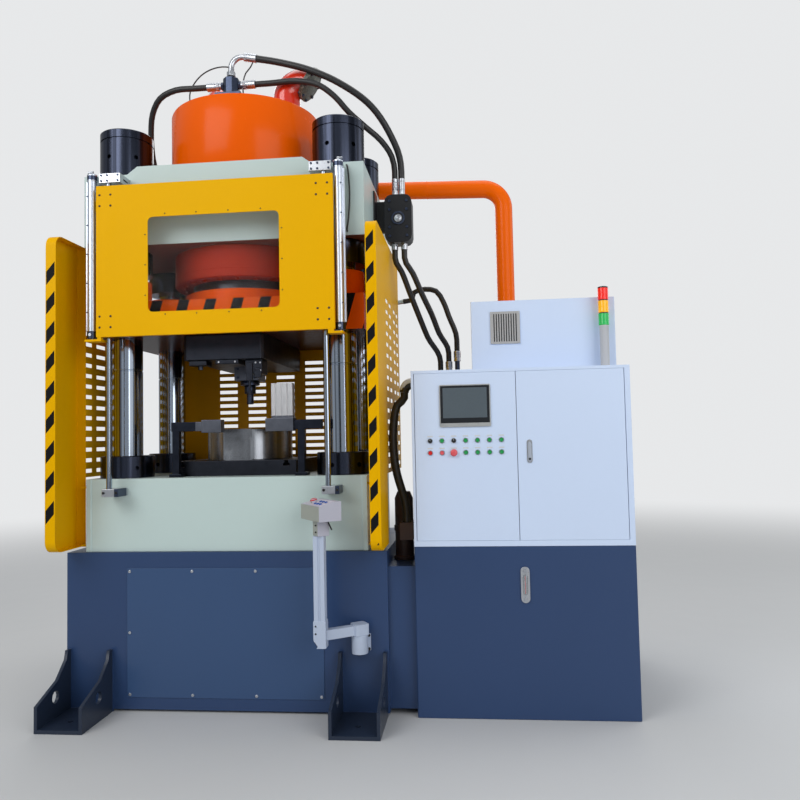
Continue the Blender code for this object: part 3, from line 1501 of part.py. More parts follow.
def build_pendant():
    """A wall bracket, a swing arm with its upright post, and a sloping console that turns on the post."""
    face = plinth_setback - seat_gap
    x, y = pendant_axis_x, pendant_axis_y
    low = pendant_plate_bottom
    plate = box((x - pendant_plate_half_width, x + pendant_plate_half_width),
                (face - pendant_plate_sheet, face), (low, low + pendant_plate_height))
    boss = disc(pendant_boss_radius, low, low + pendant_boss_height, 16, (x, y, 0))
    web_half = pendant_boss_radius * pendant_web_share
    web = box((x - web_half, x + web_half), (y, face - pendant_plate_sheet / 2),
              (low, low + pendant_boss_height))
    piece("pendant_bracket", fuse(plate, web, boss), pendant_grey, (x, face, low))

    base = low + pendant_boss_height + seat_gap
    px, py = x + pendant_reach_x, y + pendant_reach_y
    turn = math.atan2(pendant_reach_y, pendant_reach_x)
    reach = math.hypot(pendant_reach_x, pendant_reach_y)
    outline = rounded_outline((-knuckle_half, -knuckle_half), (knuckle_half, knuckle_half), knuckle_half / 3, 2)
    knuckle = prism(outline, "Z", base, base + knuckle_height)
    bar = box((0, reach), (-arm_half_width, arm_half_width), (base + arm_lift, base + arm_lift + arm_height))
    for form in (knuckle, bar):
        bmesh.ops.rotate(form, verts=form.verts, cent=(0, 0, 0), matrix=Matrix.Rotation(turn, 3, "Z"))
        bmesh.ops.translate(form, verts=form.verts, vec=(x, y, 0))
    block_low = base - elbow_block_drop
    block_high = block_low + elbow_block_height
    half = elbow_block_half
    elbow = prism(rounded_outline((px - half, py - half), (px + half, py + half), half / 5, 2), "Z",
                  block_low, block_high)
    wedge = box((px - 3 * half, px - half / 3), (py - 2 * half, py + 2 * half),
                (block_low - half, block_low + half))
    bmesh.ops.rotate(wedge, verts=wedge.verts, cent=(px - half, py, block_low + half / 2),
                     matrix=Matrix.Rotation(math.radians(elbow_block_cut_angle), 3, "Y"))
    elbow = cut(elbow, wedge)
    post_half = post_half_width
    post = box((px - post_half, px + post_half), (py - post_half, py + post_half),
               (block_high - overrun, block_high + post_length))
    grooves = []
    for side in (-1, 1):
        grooves.append(box((px - post_groove_half_width, px + post_groove_half_width),
                           sorted((py + side * (post_half - post_groove), py + side * (post_half + overrun))),
                           (block_high, block_high + post_length + overrun)))
        grooves.append(box(sorted((px + side * (post_half - post_groove), px + side * (post_half + overrun))),
                           (py - post_groove_half_width, py + post_groove_half_width),
                           (block_high, block_high + post_length + overrun)))
    form = fuse(knuckle, bar, elbow, cut(post, *grooves))
    piece("pendant_arm", form, pendant_grey, (x, y, base), pendant_swing, smooth=False)
    build_console(px, py, block_high + post_length + seat_gap)


def build_console(px, py, base):
    low = base + neck_height
    half = console_length / 2
    side = console_width / 2
    outline = [(-side, low), (side, low), (side, low + console_high),
               (side * console_flat_share, low + console_high), (-side, low + console_low)]
    body = prism(outline, "Y", -half, half)
    neck = box((-neck_half_width, neck_half_width), (-neck_half_width, neck_half_width), (base, low + overrun))
    slope = math.atan2(console_high - console_low, side * (1 + console_flat_share))
    parts = [neck]
    spots = [(0.0, half * console_stop_share, console_stop_radius, console_stop_height)]
    for index in range(console_buttons):
        for across in (-1, 1):
            spots.append((across * side * console_button_share,
                          -half * console_first_button_share - console_button_pitch * index,
                          console_button_radius, console_button_height))
    for across, along, radius, height in spots:
        across -= side * console_pad_share
        level = low + console_low + (across + side) * math.tan(slope)
        knob = disc(radius, -height, height, 10, (0, 0, 0))
        bmesh.ops.rotate(knob, verts=knob.verts, cent=(0, 0, 0), matrix=Matrix.Rotation(-slope, 3, "Y"))
        bmesh.ops.translate(knob, verts=knob.verts, vec=(across, along, level))
        parts.append(knob)
    form = fuse(body, *parts)
    bmesh.ops.rotate(form, verts=form.verts, cent=(0, 0, 0),
                     matrix=Matrix.Rotation(math.radians(console_turn), 3, "Z"))
    bmesh.ops.translate(form, verts=form.verts, vec=(px + console_shift, py, 0))
    piece("pendant_box", form, pendant_grey, (px, py, base), console_axis, smooth=False)


def build_hoses(head, block, risers, drain, gland, trunk):
    """Free hoses between fittings: straight out of each ferrule, then down in a slack curve."""
    gap = seat_gap
    x, y, z = head["top"]
    ex, ey, ez = block["main"]
    hose("hose_main", [(x + gap, y, z), (x + 0.08, y, z), (0.460, 0.272, 3.827), (0.672, 0.290, 3.738),
                       (0.866, 0.340, 3.595), (0.974, 0.410, 3.432), (1.018, 0.480, 3.320),
                       (ex, ey, ez + 0.05), (ex, ey, ez + gap)], main_hose_radius, rubber)
    x, y, z = head["right"]
    ex, ey, ez = block["second"]
    hose("hose_second", [(x + gap, y, z), (x + 0.09, y, z), (0.405, 0.280, 3.765), (0.547, 0.272, 3.725),
                         (0.642, 0.285, 3.653), (0.722, 0.310, 3.562), (0.817, 0.350, 3.480),
                         (0.913, 0.410, 3.404), (0.969, 0.475, 3.325), (ex, ey, ez + 0.05), (ex, ey, ez + gap)],
         hose_radius, rubber)
    x, y, z = head["left"]
    port = (-hose_port_reach, press_middle_y - hose_port_forward, crown_side_top + hose_port_height)
    hose("hose_left", [(x - gap, y, z), (x - 0.09, y, z), (-0.383, 0.300, 3.770), (-0.499, 0.330, 3.737),
                       (-0.571, 0.380, 3.664), (-0.605, 0.430, 3.560), (-0.614, 0.475, 3.413),
                       (port[0], port[1], port[2] + 0.07), (port[0], port[1], port[2] + gap)], hose_radius, rubber)
    x, y, z = block["a"]
    ex, ey, ez = risers["a"]
    hose("hose_side_a", [(x, y, z - gap), (x, y, z - 0.05), (1.010, 0.560, 2.600), (1.055, 0.640, 2.470),
                         (1.105, 0.730, 2.330), (1.150, 0.820, 2.210), (ex, ey, ez + 0.07), (ex, ey, ez + gap)],
         hose_radius, rubber)
    x, y, z = block["b"]
    ex, ey, ez = risers["b"]
    hose("hose_side_b", [(x, y, z - gap), (x, y, z - 0.05), (1.080, 0.560, 2.590), (1.130, 0.640, 2.470),
                         (1.185, 0.740, 2.350), (1.225, 0.840, 2.240), (ex, ey, ez + 0.06), (ex, ey, ez + gap)],
         hose_radius, rubber)
    ex, ey, ez = risers["c"]
    start, run = drain
    first = start + run * gap
    second = start + run * 0.05
    hose("hose_return", [tuple(first), tuple(second), (1.050, 0.990, 2.550), (1.130, 0.980, 2.568),
                         (1.205, 0.970, 2.550), (1.255, 0.960, 2.470), (1.290, 0.950, 2.370),
                         (ex, ey, ez + 0.08), (ex, ey, ez + gap)], hose_radius, rubber)
    x, y, z = gland
    ex, ey, ez = trunk
    hose("hose_trunk", [(x, y, z - gap), (x, y, z - 0.03), (1.000, 0.199, 1.730), (0.980, 0.197, 1.650),
                        (0.972, 0.196, 1.560), (0.974, 0.195, 1.450), (0.990, 0.195, 1.330),
                        (1.020, ey, 1.220), (ex, ey, ez + 0.08), (ex, ey, ez + gap)], trunk_hose_radius, rubber)


clear_scene()
slate = finish("slate_paint", (0.030, 0.051, 0.115), 0.45)
slate_cover = finish("slate_cover_paint", (0.034, 0.060, 0.135), 0.42)
frame_green = finish("pale_green_paint", (0.53, 0.62, 0.53), 0.42)
chrome = finish("chromed_steel", (0.55, 0.57, 0.60), 0.12, 1.0)
press_orange = finish("orange_paint", (0.80, 0.12, 0.005), 0.28)
ram_steel = finish("dark_ram_steel", (0.06, 0.06, 0.07), 0.25, 1.0)
tool_steel = finish("blackened_steel", (0.03, 0.034, 0.045), 0.42, 0.6)
bright_steel = finish("ground_steel", (0.52, 0.51, 0.49), 0.28, 1.0)
dark_steel = finish("dark_fitting_steel", (0.07, 0.08, 0.10), 0.40, 0.8)
guard_yellow = finish("guard_yellow_paint", (0.76, 0.41, 0.002), 0.38)
clear_pane = finish("clear_pane", (0.75, 0.80, 0.80), 0.05)
aluminium = finish("bright_aluminium", (0.70, 0.72, 0.76), 0.30, 1.0)
motor_blue = finish("motor_paint", (0.05, 0.10, 0.20), 0.45)
pump_brown = finish("pump_paint", (0.20, 0.09, 0.06), 0.50)
pipe_orange = finish("pipe_orange_paint", (1.0, 0.17, 0.005), 0.25)
block_black = finish("block_black", (0.012, 0.013, 0.016), 0.35, 0.3)
cabinet_white = finish("cabinet_white_paint", (0.62, 0.68, 0.80), 0.45)
screen_grey = finish("screen_bezel", (0.35, 0.36, 0.38), 0.35, 0.6)
stop_red = finish("stop_red", (0.60, 0.015, 0.012), 0.30)
knob_black = finish("knob_black", (0.010, 0.010, 0.012), 0.35)
zinc = finish("zinc_plate", (0.45, 0.46, 0.46), 0.45, 0.9)
tower_grey = finish("tower_grey", (0.40, 0.41, 0.42), 0.35)
pendant_grey = finish("pendant_grey", (0.60, 0.61, 0.63), 0.40)
rubber = finish("black_rubber", (0.010, 0.010, 0.011), 0.48)

part_origin = empty_at("part_origin", (-overall_middle_x, -overall_middle_y, 0))
slide_axis = empty_at("slide_travel_axis", (0, press_middle_y, slide_bottom), part_origin)
door_axis = empty_at("door_travel_axis", (0, rod_front, door_bottom), part_origin)
left_hinge = empty_at("cabinet_left_hinge_axis",
                      (oil_tank_left + cabinet_left_border + cabinet_door_gap + hinge_inset, hinge_inset,
                       cabinet_bottom), part_origin)
right_hinge = empty_at("cabinet_right_hinge_axis",
                       (oil_tank_right - cabinet_right_border - cabinet_door_gap - hinge_inset, hinge_inset,
                        cabinet_bottom), part_origin)
latch_axis = empty_at("latch_axis",
                      (oil_tank_left + latch_place, -latch_lever_sheet / 2,
                       cabinet_bottom + latch_bottom + latch_height - latch_rim - latch_lever_sheet), right_hinge)
pendant_swing = empty_at("pendant_swing_axis", (pendant_axis_x, pendant_axis_y, pendant_plate_bottom), part_origin)
console_axis = empty_at("console_turn_axis",
                        (pendant_axis_x + pendant_reach_x, pendant_axis_y + pendant_reach_y,
                         pendant_plate_bottom), pendant_swing)

build_base()
build_bed()
drain_end = build_crown()
build_columns()
build_cylinder()
head_ends = build_head_fittings()
build_slide()
build_tooling()
build_door()
build_door_guides()
build_side_guard("left", -1)
build_side_guard("right", 1)
build_rear_guard()
build_oil_tank()
riser_ends = build_power_pack()
trunk_end = build_transfer_pump()
build_return_pipe()
block_ends = build_valve_block()
gland_end = build_cabinet()
build_upper_box()
build_signal_tower()
build_pendant()
build_hoses(head_ends, block_ends, riser_ends, drain_end, gland_end, trunk_end)
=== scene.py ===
import json
import math
import bmesh
import bpy
from mathutils import Matrix, Vector


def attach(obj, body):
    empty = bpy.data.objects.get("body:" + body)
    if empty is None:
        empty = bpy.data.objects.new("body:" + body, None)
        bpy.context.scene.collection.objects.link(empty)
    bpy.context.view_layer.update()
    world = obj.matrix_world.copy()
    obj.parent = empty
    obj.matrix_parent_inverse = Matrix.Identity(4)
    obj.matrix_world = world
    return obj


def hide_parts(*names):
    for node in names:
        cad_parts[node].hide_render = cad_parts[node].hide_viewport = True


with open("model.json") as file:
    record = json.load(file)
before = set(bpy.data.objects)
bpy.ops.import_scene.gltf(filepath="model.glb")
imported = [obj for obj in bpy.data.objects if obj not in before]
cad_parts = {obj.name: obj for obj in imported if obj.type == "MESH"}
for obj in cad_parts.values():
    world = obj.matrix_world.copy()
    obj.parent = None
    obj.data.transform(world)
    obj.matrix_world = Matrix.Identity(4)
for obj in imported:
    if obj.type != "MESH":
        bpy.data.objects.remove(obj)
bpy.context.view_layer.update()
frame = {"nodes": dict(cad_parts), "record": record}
nodes = frame["nodes"]
bodyOfNode = {node: body for body, held in frame["record"]["behaviour"]["bodies"].items() for node in held}
print("frame loaded:", len(nodes), "nodes")

press = {"x": 0.6777, "y": 0.563, "rowShift": 0.3365, "columnX": 0.67, "bore": 0.0912,  # its axis in the frame
         "plinthHalf": 0.5475, "jawLow": 1.57}
columnRows = {"front": press["y"] - press["rowShift"], "rear": press["y"] + press["rowShift"]}
columnSides = {"left": -press["columnX"], "right": press["columnX"]}


def at(x, y, z):  # from the drawing's own frame, X 0 on the press axis and Y 0 on the tank front
    return Vector((x - press["x"], y - press["y"], z))


# shader helpers

class Wire:  # a socket that takes arithmetic
    def __init__(self, look, socket):
        self.look = look
        self.socket = socket

    def __add__(self, other):
        return self.look.calc("ADD", self, other)

    def __radd__(self, other):
        return self.look.calc("ADD", other, self)

    def __sub__(self, other):
        return self.look.calc("SUBTRACT", self, other)

    def __rsub__(self, other):
        return self.look.calc("SUBTRACT", other, self)

    def __mul__(self, other):
        return self.look.calc("MULTIPLY", self, other)

    def __truediv__(self, other):
        return self.look.calc("DIVIDE", self, other)

    def __gt__(self, other):
        return self.look.calc("GREATER_THAN", self, other)

    def __lt__(self, other):
        return self.look.calc("LESS_THAN", self, other)

    def __abs__(self):
        return self.look.calc("ABSOLUTE", self)

    def fract(self):
        return self.look.calc("FRACT", self)

    def ramp(self, low, high):  # 0 at low, 1 at high, smooth between them
        return self.look.node("ShaderNodeMapRange", {"interpolation_type": "SMOOTHSTEP"},
            {"Value": self, "From Min": low, "From Max": high})


class Look:  # one material and the nodes that it is made of
    def __init__(self, name, **constants):
        self.material = bpy.data.materials.new(name)
        self.material.use_nodes = True
        self.tree = self.material.node_tree
        self.shader = self.tree.nodes["Principled BSDF"]
        for socket, value in constants.items():
            self.shader.inputs[socket.replace("_", " ")].default_value = value
        self.kept = {}

    def node(self, kind, settings=None, sockets=None, output=0):
        made = self.tree.nodes.new(kind)
        for key, value in (settings or {}).items():
            setattr(made, key, value)
        for key, value in (sockets or {}).items():
            self.feed(made.inputs[key], value)
        return Wire(self, made.outputs[output])

    def feed(self, socket, value):
        if isinstance(value, Wire):
            self.tree.links.new(value.socket, socket)
        else:
            socket.default_value = (*value, 1.0) if socket.type == "RGBA" and len(value) == 3 else value

    def calc(self, operation, first, second=0.0):
        return self.node("ShaderNodeMath", {"operation": operation}, {0: first, 1: second})

    def place(self):  # the piece's own coordinates, in metres
        if "place" not in self.kept:
            self.kept["place"] = self.node("ShaderNodeTexCoord", output=3)
        return self.kept["place"]

    def axis(self, index):
        if "axes" not in self.kept:
            self.kept["axes"] = self.node("ShaderNodeSeparateXYZ", sockets={0: self.place()})
        return Wire(self, self.kept["axes"].socket.node.outputs[index])

    def facing(self, index):  # one part of the surface's own direction
        if "facing" not in self.kept:
            normal = self.node("ShaderNodeTexCoord", output=1)
            self.kept["facing"] = self.node("ShaderNodeSeparateXYZ", sockets={0: normal})
        return Wire(self, self.kept["facing"].socket.node.outputs[index])

    def noise(self, scale, detail=2.0, rough=0.5, stretch=None):
        vector = self.place()
        if stretch:
            vector = self.node("ShaderNodeVectorMath", {"operation": "MULTIPLY"}, {0: vector, 1: stretch})
        return self.node("ShaderNodeTexNoise", {}, {"Vector": vector, "Scale": scale, "Detail": detail,
            "Roughness": rough})

    def edges(self):  # 1 on outer edges
        return self.node("ShaderNodeNewGeometry", output=7).ramp(0.52, 0.58)

    def blend(self, factor, first, second):
        return self.node("ShaderNodeMix", {"data_type": "RGBA"}, {0: factor, 6: first, 7: second}, output=2)

    def bump(self, height, distance, strength):
        return self.node("ShaderNodeBump", {}, {"Height": height, "Distance": distance, "Strength": strength})

    def dress(self, **sockets):
        for socket, value in sockets.items():
            self.feed(self.shader.inputs[socket.replace("_", " ")], value)
        return self.material


def tone(colour, share):
    return tuple(min(1.0, part * share) for part in colour)


def paint(name, colour, rough=0.36, coat=0.0, peel=0.5, wear=0.0, dust=0.0, worn=None, spread=0.1, gleam=0.36,
        under=None, foot=None):
    look = Look(name, Coat_Weight=coat, Coat_Roughness=0.12, Specular_IOR_Level=gleam)
    broad = look.noise(1.7, 3.0)
    grain = look.noise(38.0, 4.0, 0.6)
    skin = look.noise(330.0, 1.5)
    smudge = look.noise(7.0, 4.0, 0.65).ramp(0.52, 0.78)
    shade = look.blend(broad * 0.7 + grain * 0.3, tone(colour, 1 - spread), tone(colour, 1 + spread * 0.8))
    if wear:
        chips = look.edges() * look.noise(55.0, 3.0, 0.7).ramp(0.5, 0.62) * wear
        shade = look.blend(chips, shade, worn or tone(colour, 0.45))
    if dust:
        settled = look.facing(2).ramp(0.3, 0.95) * look.noise(14.0, 4.0, 0.7).ramp(0.3, 0.75) * dust
        shade = look.blend(settled, shade, (0.3, 0.28, 0.25))
    if under:  # the underside in a darker colour: painted shade
        shade = look.blend((0.0 - look.facing(2)).ramp(0.55, 0.8), shade, under)
    if foot:  # the feet ahead of and behind the plinth, in a darker tone
        shade = look.blend(abs(look.axis(1)) > press["plinthHalf"], shade, foot)
    height = skin * peel + grain * 0.35
    return look.dress(Base_Color=shade, Roughness=rough + (grain - 0.5) * 0.08 + smudge * 0.1,
        Normal=look.bump(height, 0.0006, 0.35))


def stripedPaint(name, colour, dark, along, pitch, share, mask, rough=0.34, under=None):
    look = Look(name, Specular_IOR_Level=0.05)
    grain = look.noise(38.0, 4.0, 0.6)
    broad = look.noise(1.7, 3.0)
    shade = look.blend(broad * 0.6 + grain * 0.4, tone(colour, 0.9), tone(colour, 1.07))
    x, y, z = look.axis(0), look.axis(1), look.axis(2)
    stripe = ((along(x, y, z) / pitch).fract() < share) * mask(look, x, y, z)
    shade = look.blend(stripe, shade, dark)
    # the underside in a darker colour: painted shade
    if under:
        shade = look.blend((0.0 - look.facing(2)).ramp(0.55, 0.8), shade, under)
    skin = look.noise(330.0, 1.5)
    return look.dress(Base_Color=shade, Roughness=rough + (grain - 0.5) * 0.1 + stripe * 0.08,
        Normal=look.bump(skin * 0.5 + stripe * 0.5, 0.0006, 0.35))


def metal(name, colour, rough, lines=None, spread=0.12, stain=0.0, grainScale=60.0, depth=0.0003, streak=0.0):
    look = Look(name, Metallic=1.0)
    grain = look.noise(grainScale, 4.0, 0.6, lines)
    broad = look.noise(5.0, 3.0)
    shade = look.blend(grain * 0.6 + broad * 0.4, tone(colour, 1 - spread), tone(colour, 1 + spread))
    marks = look.noise(11.0, 5.0, 0.7).ramp(0.55, 0.8) * stain
    shade = look.blend(marks, shade, tone(colour, 0.35))
    if streak:  # long dark reflections along a round bar
        way = look.node("ShaderNodeTexCoord", output=1)
        bands = look.node("ShaderNodeTexNoise", {}, {"Vector": way, "Scale": 3.4, "Detail": 3.0, "Roughness": 0.62})
        shade = look.blend(bands.ramp(0.5, 0.62) * streak, shade, tone(colour, 0.16))
    return look.dress(Base_Color=shade, Roughness=rough + (grain - 0.5) * rough * 0.6 + marks * 0.2,
        Normal=look.bump(grain, depth, 0.4))


def jawSteel(name, dark, jaw, bright, reach, level):  # dark arm, steel jaw past reach, bright post above level
    look = Look(name, Metallic=1.0)
    grain = look.noise(26.0, 4.0, 0.6)
    x, z = look.axis(0), look.axis(2)
    onJaw = (x * reach[0] > reach[1]) * (z > press["jawLow"])
    shade = look.blend(onJaw, look.blend(grain, tone(dark, 0.7), tone(dark, 1.4)),
        look.blend(grain, tone(jaw, 0.75), tone(jaw, 1.25)))
    shade = look.blend(onJaw * (z > level), shade, look.blend(grain, tone(bright, 0.9), tone(bright, 1.08)))
    return look.dress(Base_Color=shade, Roughness=grain * 0.14 + 0.28, Normal=look.bump(grain, 0.0003, 0.4))


def console(name, colour, side):  # the pendant's box, its side that faces -x in a darker, less blue colour
    look = Look(name)
    grain = look.noise(38.0, 4.0, 0.6)
    shade = look.blend((0.0 - look.facing(0)).ramp(0.45, 0.55), colour, side)
    shade = look.blend(grain * 0.12, shade, tone(colour, 0.7))
    return look.dress(Base_Color=shade, Roughness=grain * 0.1 + 0.3, Normal=look.bump(look.noise(330.0), 0.0005, 0.3))


def glass(name, colour, rough, alpha, coat=0.6):
    look = Look(name, Coat_Weight=coat, Coat_Roughness=0.03)
    haze = look.noise(4.0, 4.0, 0.7)
    return look.dress(Base_Color=look.blend(haze, tone(colour, 0.9), tone(colour, 1.1)),
        Roughness=haze * 0.06 + rough, Alpha=haze * alpha * 0.5 + alpha * 0.75)


def plastic(name, colour, rough=0.3, glow=0.0):
    look = Look(name, Specular_IOR_Level=0.5, Emission_Strength=glow)
    grain = look.noise(90.0, 3.0)
    skin = look.noise(900.0, 2.0)
    shade = look.blend(grain, tone(colour, 0.92), tone(colour, 1.06))
    if glow:
        look.dress(Emission_Color=shade)
    return look.dress(Base_Color=shade, Roughness=rough + (grain - 0.5) * 0.1, Normal=look.bump(skin, 0.0001, 0.4))


colours = {
    "slate": (0.026, 0.057, 0.146), "green": (0.53, 0.65, 0.63), "orange": (0.86, 0.112, 0.0),
    "pipe": (0.92, 0.135, 0.0), "yellow": (0.82, 0.43, 0.0), "white": (0.61, 0.72, 0.92),
    "ink": (0.01, 0.01, 0.011), "dome": (0.72, 0.035, 0.012)}

guardStripe = {"pitch": 0.1684, "share": 0.455, "slope": 1.15,  # for each side its stripe in x, height and both ends
               "left": (-1.6177, -1.568, 2.443, 1.09, 2.6), "right": (0.2103, 0.2523, 2.545, 0.97, 2.69)}
slideStripe = {"pitch": 0.166, "share": 0.4, "shift": 0.014, "slope": 0.3, "front": -0.47, "top": 2.386}


def guardPaint(side):  # yellow with a band of slanting stripes along its front edge
    near, far, height, low, high = guardStripe[side]

    def bands(look, x, y, z):
        front = (y < (-0.18 - press["y"])) * (look.facing(1) < -0.2) * (x > near) * (x < far)
        return front * (z > low) * (z < high)

    return stripedPaint("guardStripes_" + side, colours["yellow"], colours["ink"], lambda x, y,
        z: z - (x - near) * guardStripe["slope"] - height + 10 * guardStripe["pitch"], guardStripe["pitch"],
        guardStripe["share"], bands)


def slideBands(look, x, y, z):
    return (look.facing(1) < -0.7) * (y < slideStripe["front"]) * (z < slideStripe["top"])


looks = {
    "slate": paint("slatePaint", colours["slate"], 0.36, peel=0.6, dust=0.12, spread=0.06),
    "plinth": paint("plinthPaint", colours["slate"], 0.32, peel=0.6, dust=0.1, spread=0.06,
                    foot=(0.018, 0.028, 0.052)),
    "cover": paint("coverPaint", (0.037, 0.08, 0.185), 0.32, peel=0.7, spread=0.05),
    "green": paint("frameGreenPaint", colours["green"], 0.34, dust=0.05, spread=0.04),
    # its underside is painted dark red-brown as painted shade
    "crown": paint("crownPaint", tone(colours["green"], 0.92), 0.34, dust=0.08, spread=0.04,
                   under=(0.19, 0.06, 0.045)),
    "orange": paint("pressOrangePaint", colours["orange"], 0.24, coat=0.08, spread=0.05, gleam=0.1),
    "flange": paint("flangeRedPaint", (0.44, 0.026, 0.006), 0.42, wear=0.3, worn=(0.05, 0.03, 0.03), gleam=0.05),
    "olive": paint("bendFlangePaint", (0.075, 0.08, 0.06), 0.36, coat=0.2, wear=0.8, worn=(0.34, 0.34, 0.3),
                   spread=0.3),
    "dome": paint("domeRedPaint", colours["dome"], 0.12, coat=0.9, peel=1.1, wear=0.1, worn=(0.3, 0.02, 0.01)),
    "pipe": paint("pipeOrangePaint", colours["pipe"], 0.24, coat=0.08, spread=0.05, gleam=0.1),
    # a deeper orange-yellow than the side guards: partly the guard's own colour, partly painted shade
    "rearYellowAndShade": paint("rearGuardPaintAndShade", (0.6, 0.27, 0.0), 0.42, spread=0.08, gleam=0.12),
    "yellow": paint("guardYellowPaint", colours["yellow"], 0.42, spread=0.05, gleam=0.05),
    "white": paint("cabinetWhitePaint", colours["white"], 0.42, peel=1.2, dust=0.03,
                   spread=0.03),
    "pendant": paint("pendantPaint", (0.47, 0.54, 0.68), 0.38, peel=1.0, spread=0.05),
    "motor": paint("motorPaint", (0.04, 0.1, 0.22), 0.4, dust=0.2),
    "pump": paint("pumpPaint", (0.06, 0.034, 0.03), 0.45, dust=0.2),
    "black": paint("blockBlackPaint", (0.012, 0.013, 0.016), 0.3, spread=0.3),
    "chrome": metal("hardChrome", (0.46, 0.53, 0.64), 0.12, lines=(1, 1, 60), spread=0.05, grainScale=14.0,
                    depth=0.0001, streak=0.85),
    "nut": metal("blackenedNut", (0.052, 0.061, 0.092), 0.24, lines=(1, 1, 12), stain=0.3, streak=0.75),
    "tool": metal("toolSteel", (0.03, 0.033, 0.043), 0.4, stain=0.5, spread=0.35, grainScale=24.0),
    "ground": metal("groundSteel", (0.4, 0.42, 0.46), 0.28, lines=(40, 4, 4), stain=0.6, streak=0.5),
    "punch": metal("punchSteel", (0.15, 0.16, 0.2), 0.3, lines=(40, 4, 4), stain=0.3),
    "rod": metal("rodSteel", (0.5, 0.54, 0.62), 0.14, lines=(1, 1, 30), stain=0.1, streak=0.8),
    "ram": metal("ramSteel", (0.06, 0.062, 0.072), 0.3, lines=(1, 1, 12), stain=0.3),
    "fitting": metal("zincFitting", (0.54, 0.56, 0.6), 0.3, stain=0.15, grainScale=120.0),
    "dark": metal("darkFitting", (0.06, 0.075, 0.12), 0.32, stain=0.3, grainScale=90.0),
    "stub": metal("darkBolt", (0.03, 0.034, 0.046), 0.34, stain=0.2, grainScale=90.0),
    "aluminium": metal("anodised", (0.6, 0.65, 0.74), 0.34, lines=(4, 4, 40), stain=0.05),
    "zinc": metal("zincPlate", (0.52, 0.53, 0.53), 0.42, stain=0.2, grainScale=18.0),
    "rubber": plastic("hoseRubber", (0.014, 0.014, 0.015), 0.42),
    "ink": plastic("blackPlastic", (0.013, 0.013, 0.014), 0.3),
    "red": plastic("redPlastic", (0.66, 0.012, 0.01), 0.25),
    "rose": plastic("rosePlastic", (0.72, 0.1, 0.12), 0.28),
    "leaf": plastic("greenPlastic", (0.01, 0.3, 0.075), 0.28),
    "blue": plastic("bluePlastic", (0.02, 0.1, 0.42), 0.28),
    "lensRed": plastic("lensRed", (0.8, 0.02, 0.012), 0.15, glow=0.25),
    "lensAmber": plastic("lensAmber", (0.9, 0.42, 0.01), 0.15, glow=0.25),
    "lensGreen": plastic("lensGreen", (0.015, 0.4, 0.085), 0.15, glow=0.25),
    "label": plastic("labelPlate", (0.62, 0.64, 0.66), 0.35),
    "guardLeft": guardPaint("left"),
    "guardRight": guardPaint("right"),
    "clampLeft": jawSteel("clampLeftSteel", (0.022, 0.026, 0.038), (0.13, 0.14, 0.17), (0.6, 0.6, 0.6),
                          (1, -0.8797), 3.0),
    "clampRight": jawSteel("clampRightSteel", (0.022, 0.026, 0.038), (0.13, 0.14, 0.17), (0.66, 0.66, 0.68),
                           (-1, 0.285), 1.683),
    "console": console("consolePaint", (0.46, 0.46, 0.54), (0.36, 0.37, 0.32)),
    "consoleTop": plastic("consoleTopPlate", (0.6, 0.56, 0.66), 0.35),
    "pane": glass("clearPane", (0.01, 0.014, 0.013), 0.04, 0.045, 0.15),
    "gauge": glass("gaugeGlass", (0.42, 0.47, 0.5), 0.08, 0.45),
    "screen": plastic("screenFace", (0.085, 0.11, 0.13), 0.16),
    "screenFrame": plastic("screenFrameGlass", (0.008, 0.01, 0.014), 0.08),
    "rust": paint("rustyScrew", (0.06, 0.035, 0.02), 0.5),
    "cream": paint("towerCream", (0.5, 0.51, 0.53), 0.35),
    "vent": plastic("ventGrille", (0.4, 0.4, 0.4), 0.4),
    # its underside is painted near-black red-brown as painted shade
    "slideFront": stripedPaint(
        "slideStripes", colours["orange"], colours["ink"],
        lambda x, y, z: x + slideStripe["shift"] - z * slideStripe["slope"],
        slideStripe["pitch"], slideStripe["share"], slideBands, 0.24, under=(0.06, 0.016, 0.012))}
print("materials:", len(looks))


# mesh helpers

def put(name, form, look, body="frame", node=None, smooth=True, angle=35.0):
    mesh = bpy.data.meshes.new(name)
    form = together(form) if isinstance(form, list) else form
    form.to_mesh(mesh)
    form.free()
    made = bpy.data.objects.new(name, mesh)
    bpy.context.collection.objects.link(made)
    mesh.materials.append(looks[look])
    if smooth:
        mesh.shade_smooth()
        mesh.set_sharp_from_angle(angle=math.radians(angle))
    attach(made, body)
    if node:
        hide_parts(node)
    return made


def firm(name, form, look, width, body="frame", node=None, segments=2):  # soft edges with flat faces kept flat
    made = put(name, form, look, body, node, smooth=False)
    made.data.shade_smooth()
    step = made.modifiers.new("edges", "BEVEL")
    step.width = width
    step.segments = segments
    step.limit_method = "ANGLE"
    step.angle_limit = math.radians(32.0)
    step.use_clamp_overlap = True
    made.modifiers.new("flat", "WEIGHTED_NORMAL").weight = 100


def shape(node):  # a node's own faces, welded and with its flat faces whole
    form = bmesh.new()
    form.from_mesh(nodes[node].data)
    bmesh.ops.remove_doubles(form, verts=form.verts, dist=0.00001)
    bmesh.ops.dissolve_limit(form, angle_limit=math.radians(0.4), verts=form.verts, edges=form.edges)
    return form


def soften(node, width, look):  # the node's shape with rounded edges, in its place
    form = shape(node)
    if node == "slide":  # its four bores are round
        form = drilled(form, [tube([(x, y, 2.1), (x, y, 2.6)], press["bore"], 72) for x in columnSides.values()
            for y in columnRows.values()])
    firm("soft_" + node, form, look, width, bodyOfNode[node], node)


def block(x, y, z):
    form = bmesh.new()
    bmesh.ops.create_cube(form, size=1.0)
    bmesh.ops.scale(form, verts=form.verts, vec=[abs(pair[1] - pair[0]) for pair in (x, y, z)])
    bmesh.ops.translate(form, verts=form.verts, vec=at(*[(pair[0] + pair[1]) / 2 for pair in (x, y, z)]))
    return form


